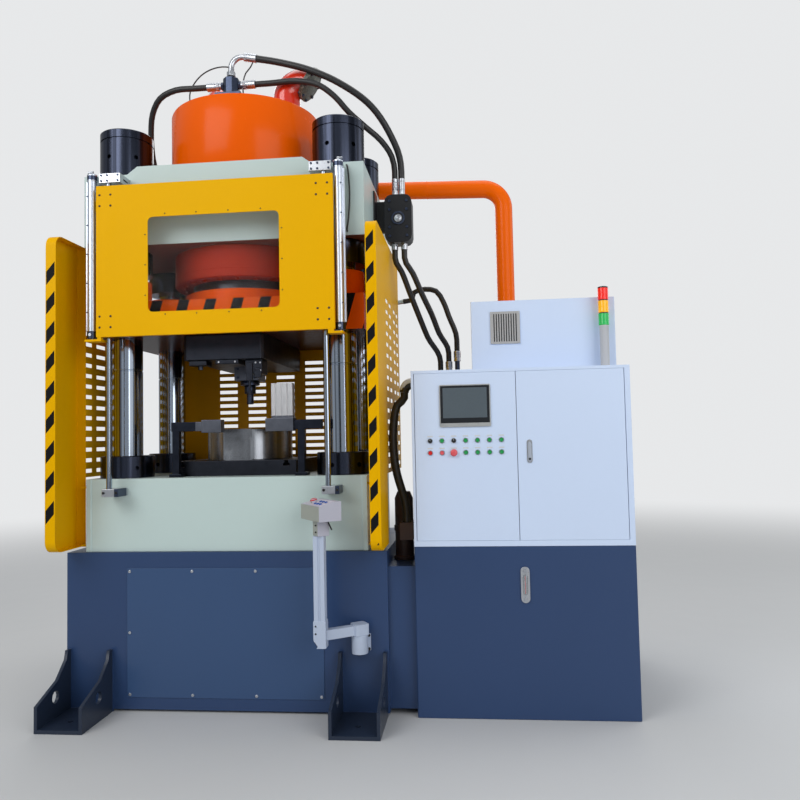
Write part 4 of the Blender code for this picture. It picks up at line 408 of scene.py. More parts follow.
def spun(profile, sides, closed, turn, place):  # radius and height pairs spun about a line
    form = bmesh.new()
    points = [form.verts.new((radius, 0.0, height)) for radius, height in profile]
    lines = [form.edges.new(pair) for pair in zip(points, points[1:] + points[:closed])]
    bmesh.ops.spin(form, geom=points + lines, cent=(0, 0, 0), axis=(0, 0, 1), dvec=(0, 0, 0), angle=2 * math.pi,
        steps=sides, use_merge=True)
    bmesh.ops.remove_doubles(form, verts=form.verts, dist=0.000001)
    bmesh.ops.rotate(form, verts=form.verts, cent=(0, 0, 0), matrix=turn)
    bmesh.ops.translate(form, verts=form.verts, vec=at(*place))
    bmesh.ops.recalc_face_normals(form, faces=form.faces)
    return form


quarter = math.pi / 2
turns = {"Z": Matrix.Identity(3), "X": Matrix.Rotation(quarter, 3, "Y"), "-Y": Matrix.Rotation(quarter, 3, "X"),
         "Y": Matrix.Rotation(-quarter, 3, "X")}


def lathe(profile, sides, place, direction="Z"):
    return spun(profile, sides, profile[0][0] > 0 and profile[-1][0] > 0, turns[direction], place)


def skinned(rings):  # faces between rings of points, with both ends closed
    form = bmesh.new()
    rings = [[form.verts.new(point) for point in ring] for ring in rings]
    sides = len(rings[0])
    for first, second in zip(rings, rings[1:]):
        for step in range(sides):
            after = (step + 1) % sides
            form.faces.new((first[step], first[after], second[after], second[step]))
    form.faces.new(rings[0])
    form.faces.new(rings[-1])
    bmesh.ops.recalc_face_normals(form, faces=form.faces)
    return form


def tube(points, radius, sides):  # a round bar along points, in the drawing's frame
    places = [at(*point) for point in points]
    radii = radius if isinstance(radius, list) else [radius] * len(places)
    run = (places[1] - places[0]).normalized()
    side = Vector((0, 1, 0)) if abs(run.y) < 0.5 else Vector((0, 0, 1))
    rings = []
    for index, place in enumerate(places):
        run = (places[min(index + 1, len(places) - 1)] - places[max(index - 1, 0)]).normalized()
        side = (side - run * side.dot(run)).normalized()
        up = run.cross(side)
        rings.append([place + radii[index] * (math.cos(2 * math.pi * step / sides) * side
            + math.sin(2 * math.pi * step / sides) * up) for step in range(sides)])
    return skinned(rings)


def together(forms):
    total = bmesh.new()
    for form in forms:
        holder = bpy.data.meshes.new("holder")
        form.to_mesh(holder)
        form.free()
        total.from_mesh(holder)
        bpy.data.meshes.remove(holder)
    return total


def drilled(form, tools):  # the form less its tools
    bodies = []
    for part in (form, together(tools)):
        mesh = bpy.data.meshes.new("step")
        part.to_mesh(mesh)
        part.free()
        bodies.append(bpy.data.objects.new("step", mesh))
        bpy.context.collection.objects.link(bodies[-1])
    step = bodies[0].modifiers.new("cut", "BOOLEAN")
    step.operation = "DIFFERENCE"
    step.solver = "EXACT"
    step.object = bodies[1]
    result = bmesh.new()
    result.from_object(bodies[0], bpy.context.evaluated_depsgraph_get())
    for body in bodies:
        mesh = body.data
        bpy.data.objects.remove(body, do_unlink=True)
        bpy.data.meshes.remove(mesh)
    return result


def arc(centre, start, end, angle, steps):  # points on a bend, in the drawing's frame
    middle, first, second = Vector(centre), Vector(start), Vector(end)
    return [tuple(middle + first * math.cos(math.radians(angle) * step / steps) + second
        * math.sin(math.radians(angle) * step / steps)) for step in range(steps + 1)]


toFront, toRear, toTop = (0, -1, 0), (0, 1, 0), (0, 0, 1)


def circle(count, radius, first):  # pairs around a circle, the first one a share of a step on
    turns = [2 * math.pi * (step + first) / count for step in range(count)]
    return [(radius * math.cos(angle), radius * math.sin(angle)) for angle in turns]


def grid(xs, y, zs):  # places in rows on an upright face
    return [(x, y, z) for x in xs for z in zs]


def screwHead(place, direction, radius, height, hexed=True):  # a round head, with a hexagon socket if hexed
    if hexed:
        hole, floor = radius * 0.46, height * 0.45
        profile = [(hole, floor), (hole, height), (radius * 0.8, height), (radius * 0.96, height * 0.8),
            (radius, height * 0.55), (radius, 0), (0, 0), (0, floor)]
    else:
        profile = [(0, height), (radius * 0.55, height * 0.93), (radius * 0.85, height * 0.6), (radius, 0), (0, 0)]
    turn = Vector((0, 0, 1)).rotation_difference(Vector(direction)).to_matrix()
    return spun(profile, 12, True, turn, place)


def screws(name, spots, direction, radius, height, look="fitting", body="frame", hexed=True):
    put(name, [screwHead(spot, direction, radius, height, hexed) for spot in spots], look, body)


# camera, lights and floor, the stage for the part

stageSet = {"place": (0.78, -4.7017, 1.5389), "yaw": 0.1013, "pitch": 0.0507, "roll": -0.021, "lens": 33.38,
            "sky": 0.4, "tint": (0.95, 0.98, 1.0), "shown": (0.8, 0.81, 0.82), "floor": (0.6, 0.61, 0.62),
            "aim": (0.0, 0.0, 1.7), "fade": (3.5, 14.0)}
lamps = {"key": ((-3.4, -5.4, 5.2), 4.0, 185), "fill": ((4.6, -5.2, 3.4), 4.5, 150),  # place, size and power
         "top": ((0.3, 0.6, 7.6), 5.0, 120), "rim": ((-1.6, 5.5, 5.2), 4.0, 110), "side": ((6.0, 2.0, 4.0), 4.0, 60)}


def setStage():
    yaw, pitch, roll = stageSet["yaw"], stageSet["pitch"], stageSet["roll"]
    ahead = Vector((-math.sin(yaw) * math.cos(pitch), math.cos(yaw) * math.cos(pitch), math.sin(pitch)))
    level = Vector((math.cos(yaw), math.sin(yaw), 0))
    rise = level.cross(ahead)
    right = level * math.cos(roll) + rise * math.sin(roll)
    up = rise * math.cos(roll) - level * math.sin(roll)
    eye = bpy.data.objects.new("photoCamera", bpy.data.cameras.new("photoCamera"))
    eye.data.lens = stageSet["lens"]
    eye.data.sensor_width = 36.0
    eye.data.clip_end = 200.0
    turn = Matrix((right, up, -ahead)).transposed().to_4x4()
    eye.matrix_world = Matrix.Translation(stageSet["place"]) @ turn
    bpy.context.collection.objects.link(eye)
    bpy.context.scene.camera = eye
    for name, (place, size, power) in lamps.items():
        lamp = bpy.data.lights.new(name, "AREA")
        lamp.size = size
        lamp.energy = power
        holder = bpy.data.objects.new(name, lamp)
        holder.location = place
        holder.rotation_euler = (Vector(stageSet["aim"]) - Vector(place)).to_track_quat("-Z", "Y").to_euler()
        bpy.context.collection.objects.link(holder)
    world = bpy.data.worlds.new("studio")
    world.use_nodes = True
    bpy.context.scene.world = world
    tree = world.node_tree
    path = tree.nodes.new("ShaderNodeLightPath")
    seen = tree.nodes.new("ShaderNodeMath")
    seen.operation = "MAXIMUM"
    tree.links.new(path.outputs["Is Camera Ray"], seen.inputs[0])
    tree.links.new(path.outputs["Is Transmission Ray"], seen.inputs[1])
    plain, shown = tree.nodes["Background"], tree.nodes.new("ShaderNodeBackground")
    plain.inputs[0].default_value = (*stageSet["tint"], 1.0)
    plain.inputs[1].default_value = stageSet["sky"]
    shown.inputs[0].default_value = (*stageSet["shown"], 1.0)
    shown.inputs[1].default_value = 1.0
    mix = tree.nodes.new("ShaderNodeMixShader")
    tree.links.new(seen.outputs[0], mix.inputs[0])
    tree.links.new(plain.outputs[0], mix.inputs[1])
    tree.links.new(shown.outputs[0], mix.inputs[2])
    tree.links.new(mix.outputs[0], tree.nodes["World Output"].inputs["Surface"])
    form = bmesh.new()
    bmesh.ops.create_grid(form, x_segments=2, y_segments=2, size=30.0)
    mesh = bpy.data.meshes.new("floor")
    form.to_mesh(mesh)
    form.free()
    ground = bpy.data.objects.new("floor", mesh)
    ground.location = (0, 0, -0.0005)
    bpy.context.collection.objects.link(ground)
    look = Look("floorFinish", Roughness=0.55)
    cloud = look.noise(0.6, 3.0)
    look.dress(Base_Color=look.blend(cloud, tone(stageSet["floor"], 0.97), tone(stageSet["floor"], 1.03)),
        Roughness=look.noise(5.0, 4.0) * 0.15 + 0.45)
    far = look.node("ShaderNodeVectorMath", {"operation": "LENGTH"}, {0: look.place()}, output=1)
    seen = look.node("ShaderNodeLightPath")
    glow = look.node("ShaderNodeEmission", {}, {"Color": stageSet["shown"], "Strength": 1.0})
    joined = look.node("ShaderNodeMixShader", {},
        {0: far.ramp(*stageSet["fade"]) * seen, 1: Wire(look, look.shader.outputs[0]), 2: glow})
    look.feed(look.tree.nodes["Material Output"].inputs["Surface"], joined)
    mesh.materials.append(look.material)
    bpy.context.scene.view_settings.view_transform = "Standard"


setStage()
print("stage set")

# base, bed, crown and the other plain forms

softEdges = {  # width of the rounded edge in metres, and the finish
    "plinth": (0.004, "plinth"), "plinth_cover": (0.0015, "cover"), "bed": (0.005, "green"), "crown": (0.005, "crown"),
    "slide": (0.004, "slideFront"), "upper_die_plate": (0.004, "tool"), "bolster": (0.003, "tool"),
    "clamp_left": (0.0025, "clampLeft"), "clamp_right": (0.0025, "clampRight"), "door_panel": (0.001, "yellow"),
    "guard_left": (0.001, "guardLeft"), "guard_right": (0.001, "guardRight"), "guard_rear": (0.001, "rearYellowAndShade"),
    "oil_tank": (0.004, "slate"), "valve_manifold": (0.003, "dark"), "valve_block": (0.003, "black"),
    "upper_box": (0.003, "white"), "cabinet_shell": (0.0012, "white"), "mounting_plate": (0.002, "zinc"),
    "touch_screen": (0.002, "zinc"), "pendant_bracket": (0.003, "pendant"), "pendant_arm": (0.003, "pendant"),
    "pendant_box": (0.003, "console"), "transfer_pump": (0.003, "pump")}
for node, (width, look) in softEdges.items():
    soften(node, width, look)
print("plain forms:", len(softEdges))

base = {"coverX": 0.56, "coverZ": (0.098, 0.797), "front": 0.0205, "screw": 0.0085}


def dressBase():
    low, high = base["coverZ"]
    xs = [base["coverX"] * share for share in (-1, -1 / 3, 1 / 3, 1)]
    spots = grid(xs, base["front"], (low, high)) + grid((xs[0], xs[3]), base["front"], ((low + high) / 2,))
    screws("coverScrews", spots, toFront, base["screw"], 0.004)


dressBase()


# columns with their nuts

column = {"radius": 0.09, "foot": 1.34, "top": 3.443, "groove": 1.982, "grooveWidth": 0.006}
nuts = {"bed": (0.157, 1.3315, 1.4635), "under": (0.152, 2.5729, 2.7129), "top": (0.157, 3.1445, 3.4475),
        "hole": 0.0135, "holeDepth": 0.028, "holes": 6, "firstHole": -105.0, "share": 0.44}


def nutForm(x, y, kind):
    radius, low, high = nuts[kind]
    bore = column["radius"] + 0.0002
    profile = [(bore, low), (radius - 0.002, low), (radius, low + 0.002)]
    if kind == "top":
        ring = low + 0.243
        profile += [(radius, ring - 0.0015), (radius - 0.0055, ring), (radius - 0.0055, ring + 0.008),
            (radius, ring + 0.0095)]
    profile += [(radius, high - 0.005), (radius - 0.005, high), (bore + 0.004, high), (bore, high - 0.004)]
    form = lathe(profile, 80, (x, y, 0))
    if kind == "under":
        return form
    tools = []
    for step in range(nuts["holes"]):
        angle = math.radians(nuts["firstHole"] + 360.0 * step / nuts["holes"])
        out = Vector((math.cos(angle), math.sin(angle), 0))
        level = low + (high - low) * nuts["share"]
        near, far = out * (radius - nuts["holeDepth"]), out * (radius + 0.02)
        tools.append(tube([(x + near.x, y + near.y, level), (x + far.x, y + far.y, level)], nuts["hole"], 20))
    return drilled(form, tools)


def buildColumns():
    r, g, w, top = column["radius"], column["groove"], column["grooveWidth"], column["top"]
    profile = [(0, column["foot"]), (r, column["foot"]), (r, g - w), (r - 0.003, g - w / 2), (r - 0.003, g + w / 2),
        (r, g + w), (r, top - 0.004), (r - 0.004, top), (0, top)]
    for row, y in columnRows.items():
        for side, x in columnSides.items():
            put(f"bar_{row}_{side}", lathe(profile, 96, (x, y, 0)), "chrome", node=f"column_{row}_{side}")
            for kind in ("bed", "under", "top"):
                put(f"nut_{kind}_{row}_{side}", nutForm(x, y, kind), "nut")


buildColumns()
print("columns")


# main cylinder, ram, drum and its bends

cylinder = {"flange": 0.462, "body": 0.43, "bore": 0.3506, "bottom": 2.5202, "top": 2.7129, "lid": 3.1902,
            "bolts": 24, "boltCircle": 0.412, "ram": 0.35, "ramLow": 2.4605, "ramTop": 3.085}
drum = {"radius": 0.48, "low": 3.1905, "high": 3.6285, "edge": 0.014}
bend = {"radius": 0.1, "pipe": 0.084, "rise": 0.08, "flange": 0.108, "sheet": 0.026, "past": 0.0015,
        "boltCircle": 0.096, "bolt": 0.01, "bolts": 8}


def domedBend(name, spot, away, angle, rise):  # a pipe bend on the drum's lid with a blind flange on its end
    r, flange, past, top = bend["radius"], bend["flange"], bend["past"], drum["high"]
    out = Vector(away) * r
    start = Vector((*spot, top + rise))
    path = [(*spot, top - 0.004)] + arc(start + out, -out, (0, 0, r), angle, 18)
    put(name + "_pipe", tube(path, bend["pipe"], 48), "dome")
    end = Vector(path[-1])
    run = (end - Vector(path[-2])).normalized()
    near, far = end - run * bend["sheet"], end + run * past
    rim = [tuple(place) for place in (near, near + run * 0.002, far - run * 0.002, far)]
    put(name + "_collar", tube(rim, [flange - 0.003, flange, flange, flange - 0.003], 56), "olive")
    side = run.cross(Vector((away[1], -away[0], 0)) if abs(run.z) < 0.99 else Vector((1, 0, 0))).normalized()
    other = run.cross(side)
    spots = [tuple(near + side * a + other * b) for a, b in circle(bend["bolts"], bend["boltCircle"], 0.5)]
    screws(name + "_bolts", spots, tuple(-run), bend["bolt"], 0.01, "dark")
    outer = [tuple(Vector(spot) + run * (bend["sheet"] + past)) for spot in spots]
    screws(name + "_nuts", outer, tuple(run), bend["bolt"], 0.008, "dark")
    inner = bend["pipe"] - 0.002
    ring = [(inner, -0.003), (inner + 0.014, -0.003), (inner + 0.011, 0.005), (inner, 0.012)]
    put(name + "_weld", lathe(ring, 48, (*spot, top)), "dome")


def buildCylinder():
    f, b, body, lid = cylinder["flange"], cylinder["bore"], cylinder["body"], cylinder["lid"]
    y, low, top = press["y"], cylinder["bottom"], cylinder["top"]
    profile = [(b, low + 0.003), (b + 0.003, low), (f - 0.006, low), (f, low + 0.006), (f, low + 0.05),
        (f - 0.0015, low + 0.052), (f, low + 0.054), (f, top - 0.004), (f - 0.004, top), (body, top), (body, lid),
        (0, lid), (0, lid - 0.045), (b, lid - 0.045)]
    put("cylinderFlange", lathe(profile, 96, (0, y, 0)), "flange", node="main_cylinder")
    spots = [(a, y + b, low) for a, b in circle(cylinder["bolts"], cylinder["boltCircle"], 0.5)]
    screws("flangeBolts", spots, (0, 0, -1), 0.013, 0.012, "flange")
    r, low, top = cylinder["ram"], cylinder["ramLow"], cylinder["ramTop"]
    put("ramBar", lathe([(0, low), (r, low), (r, top), (0, top)], 96, (0, y, 0)), "ram", "slide", "ram")
    r, low, high, edge = drum["radius"], drum["low"], drum["high"], drum["edge"]
    profile = [(0, low), (r - 0.002, low), (r, low + 0.003), (r, high - edge), (r - edge * 0.3, high - edge * 0.3),
        (r - edge, high), (0, high)]
    put("drumShell", lathe(profile, 144, (0, y, 0)), "orange", node="prefill_tank")
    bead = [(r - 0.002, low), (r + 0.006, low), (r + 0.005, low + 0.005), (r - 0.002, low + 0.009)]
    put("drumWeld", lathe(bead, 144, (0, y, 0)), "orange")
    domedBend("bendRight", (0.312, y - 0.163), (1, 0, 0), 128.0, bend["rise"])
    domedBend("bendLeft", (-0.214, y + 0.037), toRear, 90.0, bend["rise"] + 0.045)


buildCylinder()
print("cylinder and drum")


# pressure inlet on the drum

inlet = {"x": -0.0154, "y": 0.29, "low": 3.6288, "base": 0.0664, "baseHalf": 0.083, "half": 0.0478, "top": 3.8084,
         "elbow": 0.0185, "bendRise": 0.0703, "ferrule": 0.0264, "ferruleLength": 0.081, "sideDrop": 0.041,
         "turn": 102.0}


def ferrule(name, start, end, radius, body="frame"):  # crimped sleeve with its hexagon nut at the start
    a, b = Vector(start), Vector(end)
    run = (b - a).normalized()
    length = (b - a).length
    steps = [(0.0, 0.9), (0.02, 0.96), (0.24, 0.96), (0.26, 0.9), (0.32, 0.9), (0.35, 1.0), (0.44, 1.0),
        (0.455, 0.965), (0.5, 0.965), (0.515, 1.0), (0.6, 1.0), (0.615, 0.965), (0.66, 0.965), (0.675, 1.0),
        (0.76, 1.0), (0.775, 0.965), (0.82, 0.965), (0.835, 1.0), (0.985, 1.0), (1.0, 0.96)]
    put(name, tube([tuple(a + run * length * t) for t, _ in steps], [radius * r for _, r in steps], 28), "fitting",
        body, angle=25)
    firm(name + "Nut", tube([tuple(a + run * length * 0.02), tuple(a + run * length * 0.26)], radius * 1.04, 6),
        "fitting", 0.0015, body)


def buildInlet():
    x, y, low = inlet["x"], inlet["y"], inlet["low"]
    half, baseHigh = inlet["baseHalf"], inlet["low"] + inlet["base"]
    firm("inletBase", block((x - half, x + half), (y - half, y + half), (low, baseHigh)), "dark", 0.004,
        node="head_block")
    reach = inlet["half"]
    form = lathe([(0, baseHigh), (reach * 1.0824, baseHigh), (reach * 1.0824, inlet["top"]), (0, inlet["top"])], 8,
        (0, 0, 0))
    bmesh.ops.rotate(form, verts=form.verts, cent=at(0, 0, 0), matrix=Matrix.Rotation(math.pi / 8, 3, "Z"))
    bmesh.ops.translate(form, verts=form.verts, vec=(x, y, 0))
    firm("inletBlock", form, "dark", 0.003)
    top = inlet["top"]
    neck = [(0, top), (0.026, top), (0.026, top + 0.006), (0.02, top + 0.01), (0.02, top + 0.02), (0, top + 0.02)]
    put("inletNeck", lathe(neck, 32, (x, y, 0)), "ink")
    firm("inletNut", tube([(x, y, top + 0.018), (x, y, top + 0.046)], 0.029, 6), "fitting", 0.002)
    rise = inlet["bendRise"]
    path = [(x, y, top + 0.04)] + arc((x + rise, y, top + rise), (-rise, 0, 0), (0, 0, rise), inlet["turn"], 16)
    lean = math.radians(inlet["turn"] - 90.0)
    run = Vector((math.cos(lean), 0, -math.sin(lean)))
    start = Vector(path[-1])
    path.append(tuple(start + run * 0.012))
    radii = [inlet["elbow"] * 1.12] + [inlet["elbow"]] * (len(path) - 1)
    put("inletElbow", tube(path, radii, 32), "fitting")
    ferrule("inletFerruleTop", tuple(start), tuple(start + run * inlet["ferruleLength"]), inlet["ferrule"])
    side = top - inlet["sideDrop"]
    for name, sign in (("Left", -1), ("Right", 1)):
        near = x + sign * (reach - 0.004)
        far = x + sign * (reach + inlet["ferrule"] + inlet["ferruleLength"])
        middle = x + sign * (reach + inlet["ferrule"])
        put("inletStub" + name, tube([(near, y, side), (middle + sign * 0.01, y, side)], inlet["elbow"], 24), "fitting")
        firm("inletStubNut" + name, tube([(near + sign * 0.004, y, side), (near + sign * 0.02, y, side)], 0.025, 6),
            "dark", 0.0015)
        ferrule("inletFerrule" + name, (middle, y, side), (far, y, side), inlet["ferrule"])


buildInlet()
print("inlet")


# hoses, each along the same route as its solid

def routeOf(points, spacing):  # straight first and last runs, smooth between them
    knots = [Vector(point) for point in points]
    slopes = [(knots[1] - knots[0]).normalized()] * 2
    for last, knot, following in zip(knots[1:], knots[2:-2], knots[3:]):
        before, after = knot - last, following - knot
        both = before.length + after.length
        slopes.append((before.normalized() * after.length + after.normalized() * before.length) / both)
    slopes += [(knots[-1] - knots[-2]).normalized()] * 2
    route = [knots[0], knots[1]]
    for start, end, leave, arrive in zip(knots[1:], knots[2:-1], slopes[1:], slopes[2:]):
        length = (end - start).length
        count = max(2, int(length / spacing + 0.5))
        for step in range(1, count + 1):
            t = step / count
            route.append(start * (2 * t ** 3 - 3 * t ** 2 + 1) + end * (3 * t ** 2 - 2 * t ** 3)
                + (leave * (t ** 3 - 2 * t ** 2 + t) + arrive * (t ** 3 - t ** 2)) * length)
    return route + [knots[-1]]


def hose(name, points, radius, node=None, spacing=0.04):
    route = [at(*point) for point in routeOf(points, spacing)]
    curve = bpy.data.curves.new(name, "CURVE")
    curve.dimensions = "3D"
    curve.bevel_depth = radius
    curve.bevel_resolution = 6
    curve.use_fill_caps = True
    spline = curve.splines.new("POLY")
    spline.points.add(len(route) - 1)
    for spot, place in zip(spline.points, route):
        spot.co = (*place, 1.0)
    made = bpy.data.objects.new(name, curve)
    bpy.context.collection.objects.link(made)
    curve.materials.append(looks["rubber"])
    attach(made, "frame")
    if node:
        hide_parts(node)


hoses = {  # name: node, radius and knots; the first two and the last two lie on the fittings' axes
    "hoseMain": ("hose_main", 0.021, [
        (0.149, 0.29, 3.9307), (0.2087, 0.29, 3.9179), (0.314, 0.285, 3.889), (0.486, 0.278, 3.829),
        (0.672, 0.29, 3.738), (0.866, 0.34, 3.595), (0.974, 0.41, 3.432), (1.018, 0.48, 3.32),
        (1.025, 0.5, 3.2362), (1.025, 0.5, 3.1865)]),
    "hoseSecond": ("hose_second", 0.0185, [
        (0.1401, 0.29, 3.7674), (0.2298, 0.29, 3.7674), (0.405, 0.28, 3.765), (0.547, 0.272, 3.725),
        (0.642, 0.285, 3.653), (0.722, 0.31, 3.562), (0.817, 0.35, 3.48), (0.913, 0.41, 3.404),
        (0.969, 0.475, 3.325), (0.983, 0.5, 3.2362), (0.983, 0.5, 3.1865)]),
    "hoseLeft": ("hose_left", 0.0185, [
        (-0.1709, 0.29, 3.7674), (-0.2606, 0.29, 3.7674), (-0.383, 0.3, 3.77), (-0.499, 0.33, 3.737),
        (-0.571, 0.38, 3.664), (-0.605, 0.43, 3.56), (-0.614, 0.475, 3.413), (-0.602, 0.5, 3.2942),
        (-0.602, 0.5, 3.2245)]),
    "hoseSideA": ("hose_side_a", 0.0185, [
        (0.974, 0.5, 2.7289), (0.974, 0.5, 2.6792), (1.01, 0.56, 2.6), (1.055, 0.64, 2.47),
        (1.105, 0.73, 2.33), (1.15, 0.82, 2.21), (1.2269, 0.94, 2.0523), (1.2269, 0.94, 1.9826)]),
    "hoseSideB": ("hose_side_b", 0.0185, [
        (1.034, 0.5, 2.7289), (1.034, 0.5, 2.6792), (1.08, 0.56, 2.59), (1.13, 0.64, 2.47),
        (1.185, 0.74, 2.35), (1.225, 0.84, 2.24), (1.2844, 0.94, 2.1123), (1.2844, 0.94, 2.0526)]),
    "hoseReturn": ("hose_return", 0.0185, [
        (0.9737376345, 1.0, 2.4908575987), (1.02304575, 1.0, 2.49708645), (1.05, 0.99, 2.55),
        (1.13, 0.98, 2.568), (1.205, 0.97, 2.55), (1.255, 0.96, 2.47), (1.29, 0.95, 2.37),
        (1.3419, 0.94, 2.2023), (1.3419, 0.94, 2.1226)]),
    "hoseTrunk": ("hose_trunk", 0.024, [
        (1.0424, 0.2, 1.804), (1.0424, 0.2, 1.7743), (1.0, 0.199, 1.73), (0.98, 0.197, 1.65),
        (0.972, 0.196, 1.56), (0.974, 0.195, 1.45), (0.99, 0.195, 1.33), (1.02, 0.197, 1.22),
        (1.0425, 0.197, 1.1273), (1.0425, 0.197, 1.0476)])}
cables = {  # name: radius, spacing and knots of the thin cables at the drum's head and on the crown
    "cableHeadLeft": (0.0042, 0.022, [
        (-0.2982, 0.33, 3.629), (-0.2982, 0.33, 3.66), (-0.2955, 0.32, 3.76), (-0.2455, 0.305, 3.8297),
        (-0.1995, 0.3, 3.8652), (-0.1015, 0.3, 3.899), (-0.05, 0.296, 3.896), (-0.017, 0.2905, 3.887)]),
    "cableHeadRight": (0.0042, 0.022, [
        (0.129, 0.292, 3.924), (0.123, 0.294, 3.913), (0.1055, 0.3, 3.8849), (0.0729, 0.306, 3.8519),
        (0.0562, 0.308, 3.8017), (0.054, 0.312, 3.7), (0.054, 0.312, 3.66), (0.054, 0.312, 3.629)]),
    "airHose": (0.005, 0.04, [
        (0.748, 0.0396, 2.735), (0.748, 0.028, 2.743), (0.754, 0.022, 2.77), (0.764, 0.02, 2.86),
        (0.768, 0.02, 2.94), (0.766, 0.02, 3.02), (0.76, 0.022, 3.09), (0.754, 0.028, 3.118),
        (0.75, 0.0397, 3.126)])}
gland = {"x": 1.0874, "y": 0.2, "z": 1.8043, "bend": 0.045, "radius": 0.0276}


def buildHoses():
    for name, (node, radius, knots) in hoses.items():
        hose(name, knots, radius, node)
    for name, (radius, spacing, knots) in cables.items():
        hose(name, knots, radius, spacing=spacing)
    x, y, z, r = gland["x"], gland["y"], gland["z"], gland["bend"]
    elbow = [(x, y, z + r + 0.001)] + arc((x, y, z), (0, 0, r), (-r, 0, 0), 90, 8)
    put("trunkGland", tube(elbow, gland["radius"], 32), "ink")


buildHoses()
print("hoses")


# slide tooling

dieTools = {"ring": 0.268, "bore": 0.075, "ringLow": 1.4225, "ringHigh": 1.6135, "flat": 0.0925, "step": 0.15,
            "plate": 2.0219, "holder": 0.08, "holderHigh": 0.096, "blocks": (  # x, y and depths below the upper plate
                ((0.104, 0.206), (0.132, 0.25), (0.086, 0)), ((0.112, 0.15), (0.122, 0.14), (0.128, 0.02)),
                ((-0.236, -0.128), (0.118, 0.21), (0.03, 0)), ((-0.07, 0.07), (0.11, 0.3), (0.026, 0)),
                ((0.16, 0.2), (0.128, 0.15), (0.11, 0.05)))}


def buildTooling():
    y, r, low, high = press["y"], dieTools["ring"], dieTools["ringLow"], dieTools["ringHigh"]
    bore, step = dieTools["bore"], dieTools["step"]
    profile = [(bore, low), (r - 0.003, low), (r, low + 0.003), (r, high - 0.004), (r - 0.004, high), (step, high),
        (step - 0.001, high - 0.012), (bore + 0.003, high - 0.012), (bore, high - 0.015)]
    flat = y - math.sqrt(r ** 2 - dieTools["flat"] ** 2)
    ring = drilled(lathe(profile, 96, (0, y, 0)), [block((-r, r), (flat - r, flat), (low - 0.02, high + 0.02))])
    put("dieRing", ring, "ground", node="die_ring")
    top, half = dieTools["plate"], dieTools["holder"]
    z = top - dieTools["holderHigh"]
    firm("punchHolder", block((-half, half), (y - half, y + half), (z, top)), "punch", 0.004, "slide", "punch")
    profile = [(0, z - 0.15), (0.019, z - 0.15), (0.022, z - 0.146), (0.022, z - 0.082), (0.034, z - 0.082),
        (0.036, z - 0.079), (0.036, z - 0.033), (0.034, z - 0.03), (0.05, z - 0.03), (0.062, z - 0.026),
        (0.062, z - 0.003), (0.06, z), (0, z)]
    put("punchNose", lathe(profile, 56, (0, y, 0)), "dark", "slide")
    spots = grid((-0.055, 0.055), y - half, (z + 0.02, z + 0.076))
    screws("punchScrews", spots, toFront, 0.0085, 0.006, "dark", "slide")


def buildToolBlocks():  # blocks, a sensor bar and a cable under the upper plate
    top = dieTools["plate"]
    firm("toolBlocks", [block(x, y, (top - low, top - high)) for x, y, (low, high) in dieTools["blocks"]], "tool",
        0.003, "slide")
    bars = [tube([(0.131, 0.131, top - 0.12), (0.131, 0.131, top - 0.215)], 0.0065, 20),
        tube([(-0.18, 0.16, top - 0.024), (-0.18, 0.16, top - 0.052)], 0.016, 6)]
    put("toolBars", bars, "stub", "slide")
    spots = grid((0.168, 0.196), 0.132, (top - 0.02, top - 0.066)) + grid((-0.05, 0.05), 0.11, (top - 0.013,))
    screws("toolBlockScrews", spots, toFront, 0.006, 0.004, "fitting", "slide")


buildTooling()
buildToolBlocks()
print("tooling")


# guard door: rods, lift cylinders, pane and screws

door = {"rodX": (-0.643, 0.633), "liftX": (-0.744, 0.718), "y": -0.06, "rod": 0.016, "rodLow": 1.2502,
        "rodTop": 3.0842, "blockIn": 0.08, "blockOut": 0.048, "lift": 0.029, "liftLow": 2.1502, "liftTop": 3.1152,
        "barrelBore": 0.0103, "pistonRod": 0.01, "rodStart": 2.1385, "rodLength": 0.88, "arms": (2.7432, 3.0842),
        "railScrews": (2.3, 2.47, 2.64, 2.81, 2.98), "front": -0.112, "pane": ((-0.406, 0.406), (-0.1087, -0.1037),
        (2.2622, 2.8542)), "cornerX": (-0.673, -0.607, 0.599, 0.663), "cornerZ": (2.975, 2.911, 2.268, 2.205),
        "edgeX": (-0.282, -0.097, 0.091, 0.279), "edgeZ": (2.848, 2.268), "sideX": (-0.4, 0.4),
        "sideZ": (2.731, 2.556, 2.38)}


def buildGuide(name, side, rodX):  # one guide rod with its upper block and lower clamp
    y, low, top, r = door["y"], door["rodLow"], door["rodTop"], door["rod"]
    put("guideRod_" + name, lathe([(0, low), (r, low), (r, top), (0, top)], 40, (rodX, y, 0)), "chrome",
        node="guide_rod_" + name)
    inner, outer = sorted((rodX - side * door["blockIn"], rodX + side * door["blockOut"]))
    form = drilled(block((inner, outer), (y - 0.025, 0.0397), (top - 0.028, top + 0.028)),
        [block((inner - 0.01, outer + 0.01), (y + 0.02, 0.02), (top - 0.004, top + 0.004))])
    firm("rodBlock_" + name, form, "fitting", 0.0025)
    spots = grid((inner + 0.014, inner + 0.05, outer - 0.014), y - 0.025, (top - 0.016, top + 0.016))
    screws("rodBlockScrews_" + name, spots, toFront, 0.0065, 0.005, "dark")
    left, right = rodX - 0.034, rodX + 0.066
    clamp = block((left, right), (y - 0.025, 0.0372), (low - 0.015, low + 0.03))
    firm("rodClamp_" + name, clamp, "fitting", 0.003)
    end = block((right - 0.026, right + 0.0005), (y - 0.0256, 0.02), (low - 0.0155, low + 0.0305))
    firm("rodClampEnd_" + name, end, "dark", 0.003)
    spots = [(left + 0.012, y - 0.025, low + 0.008), (right - 0.013, y - 0.0256, low + 0.008)]
    screws("rodClampScrews_" + name, spots, toFront, 0.008, 0.006, "ink")


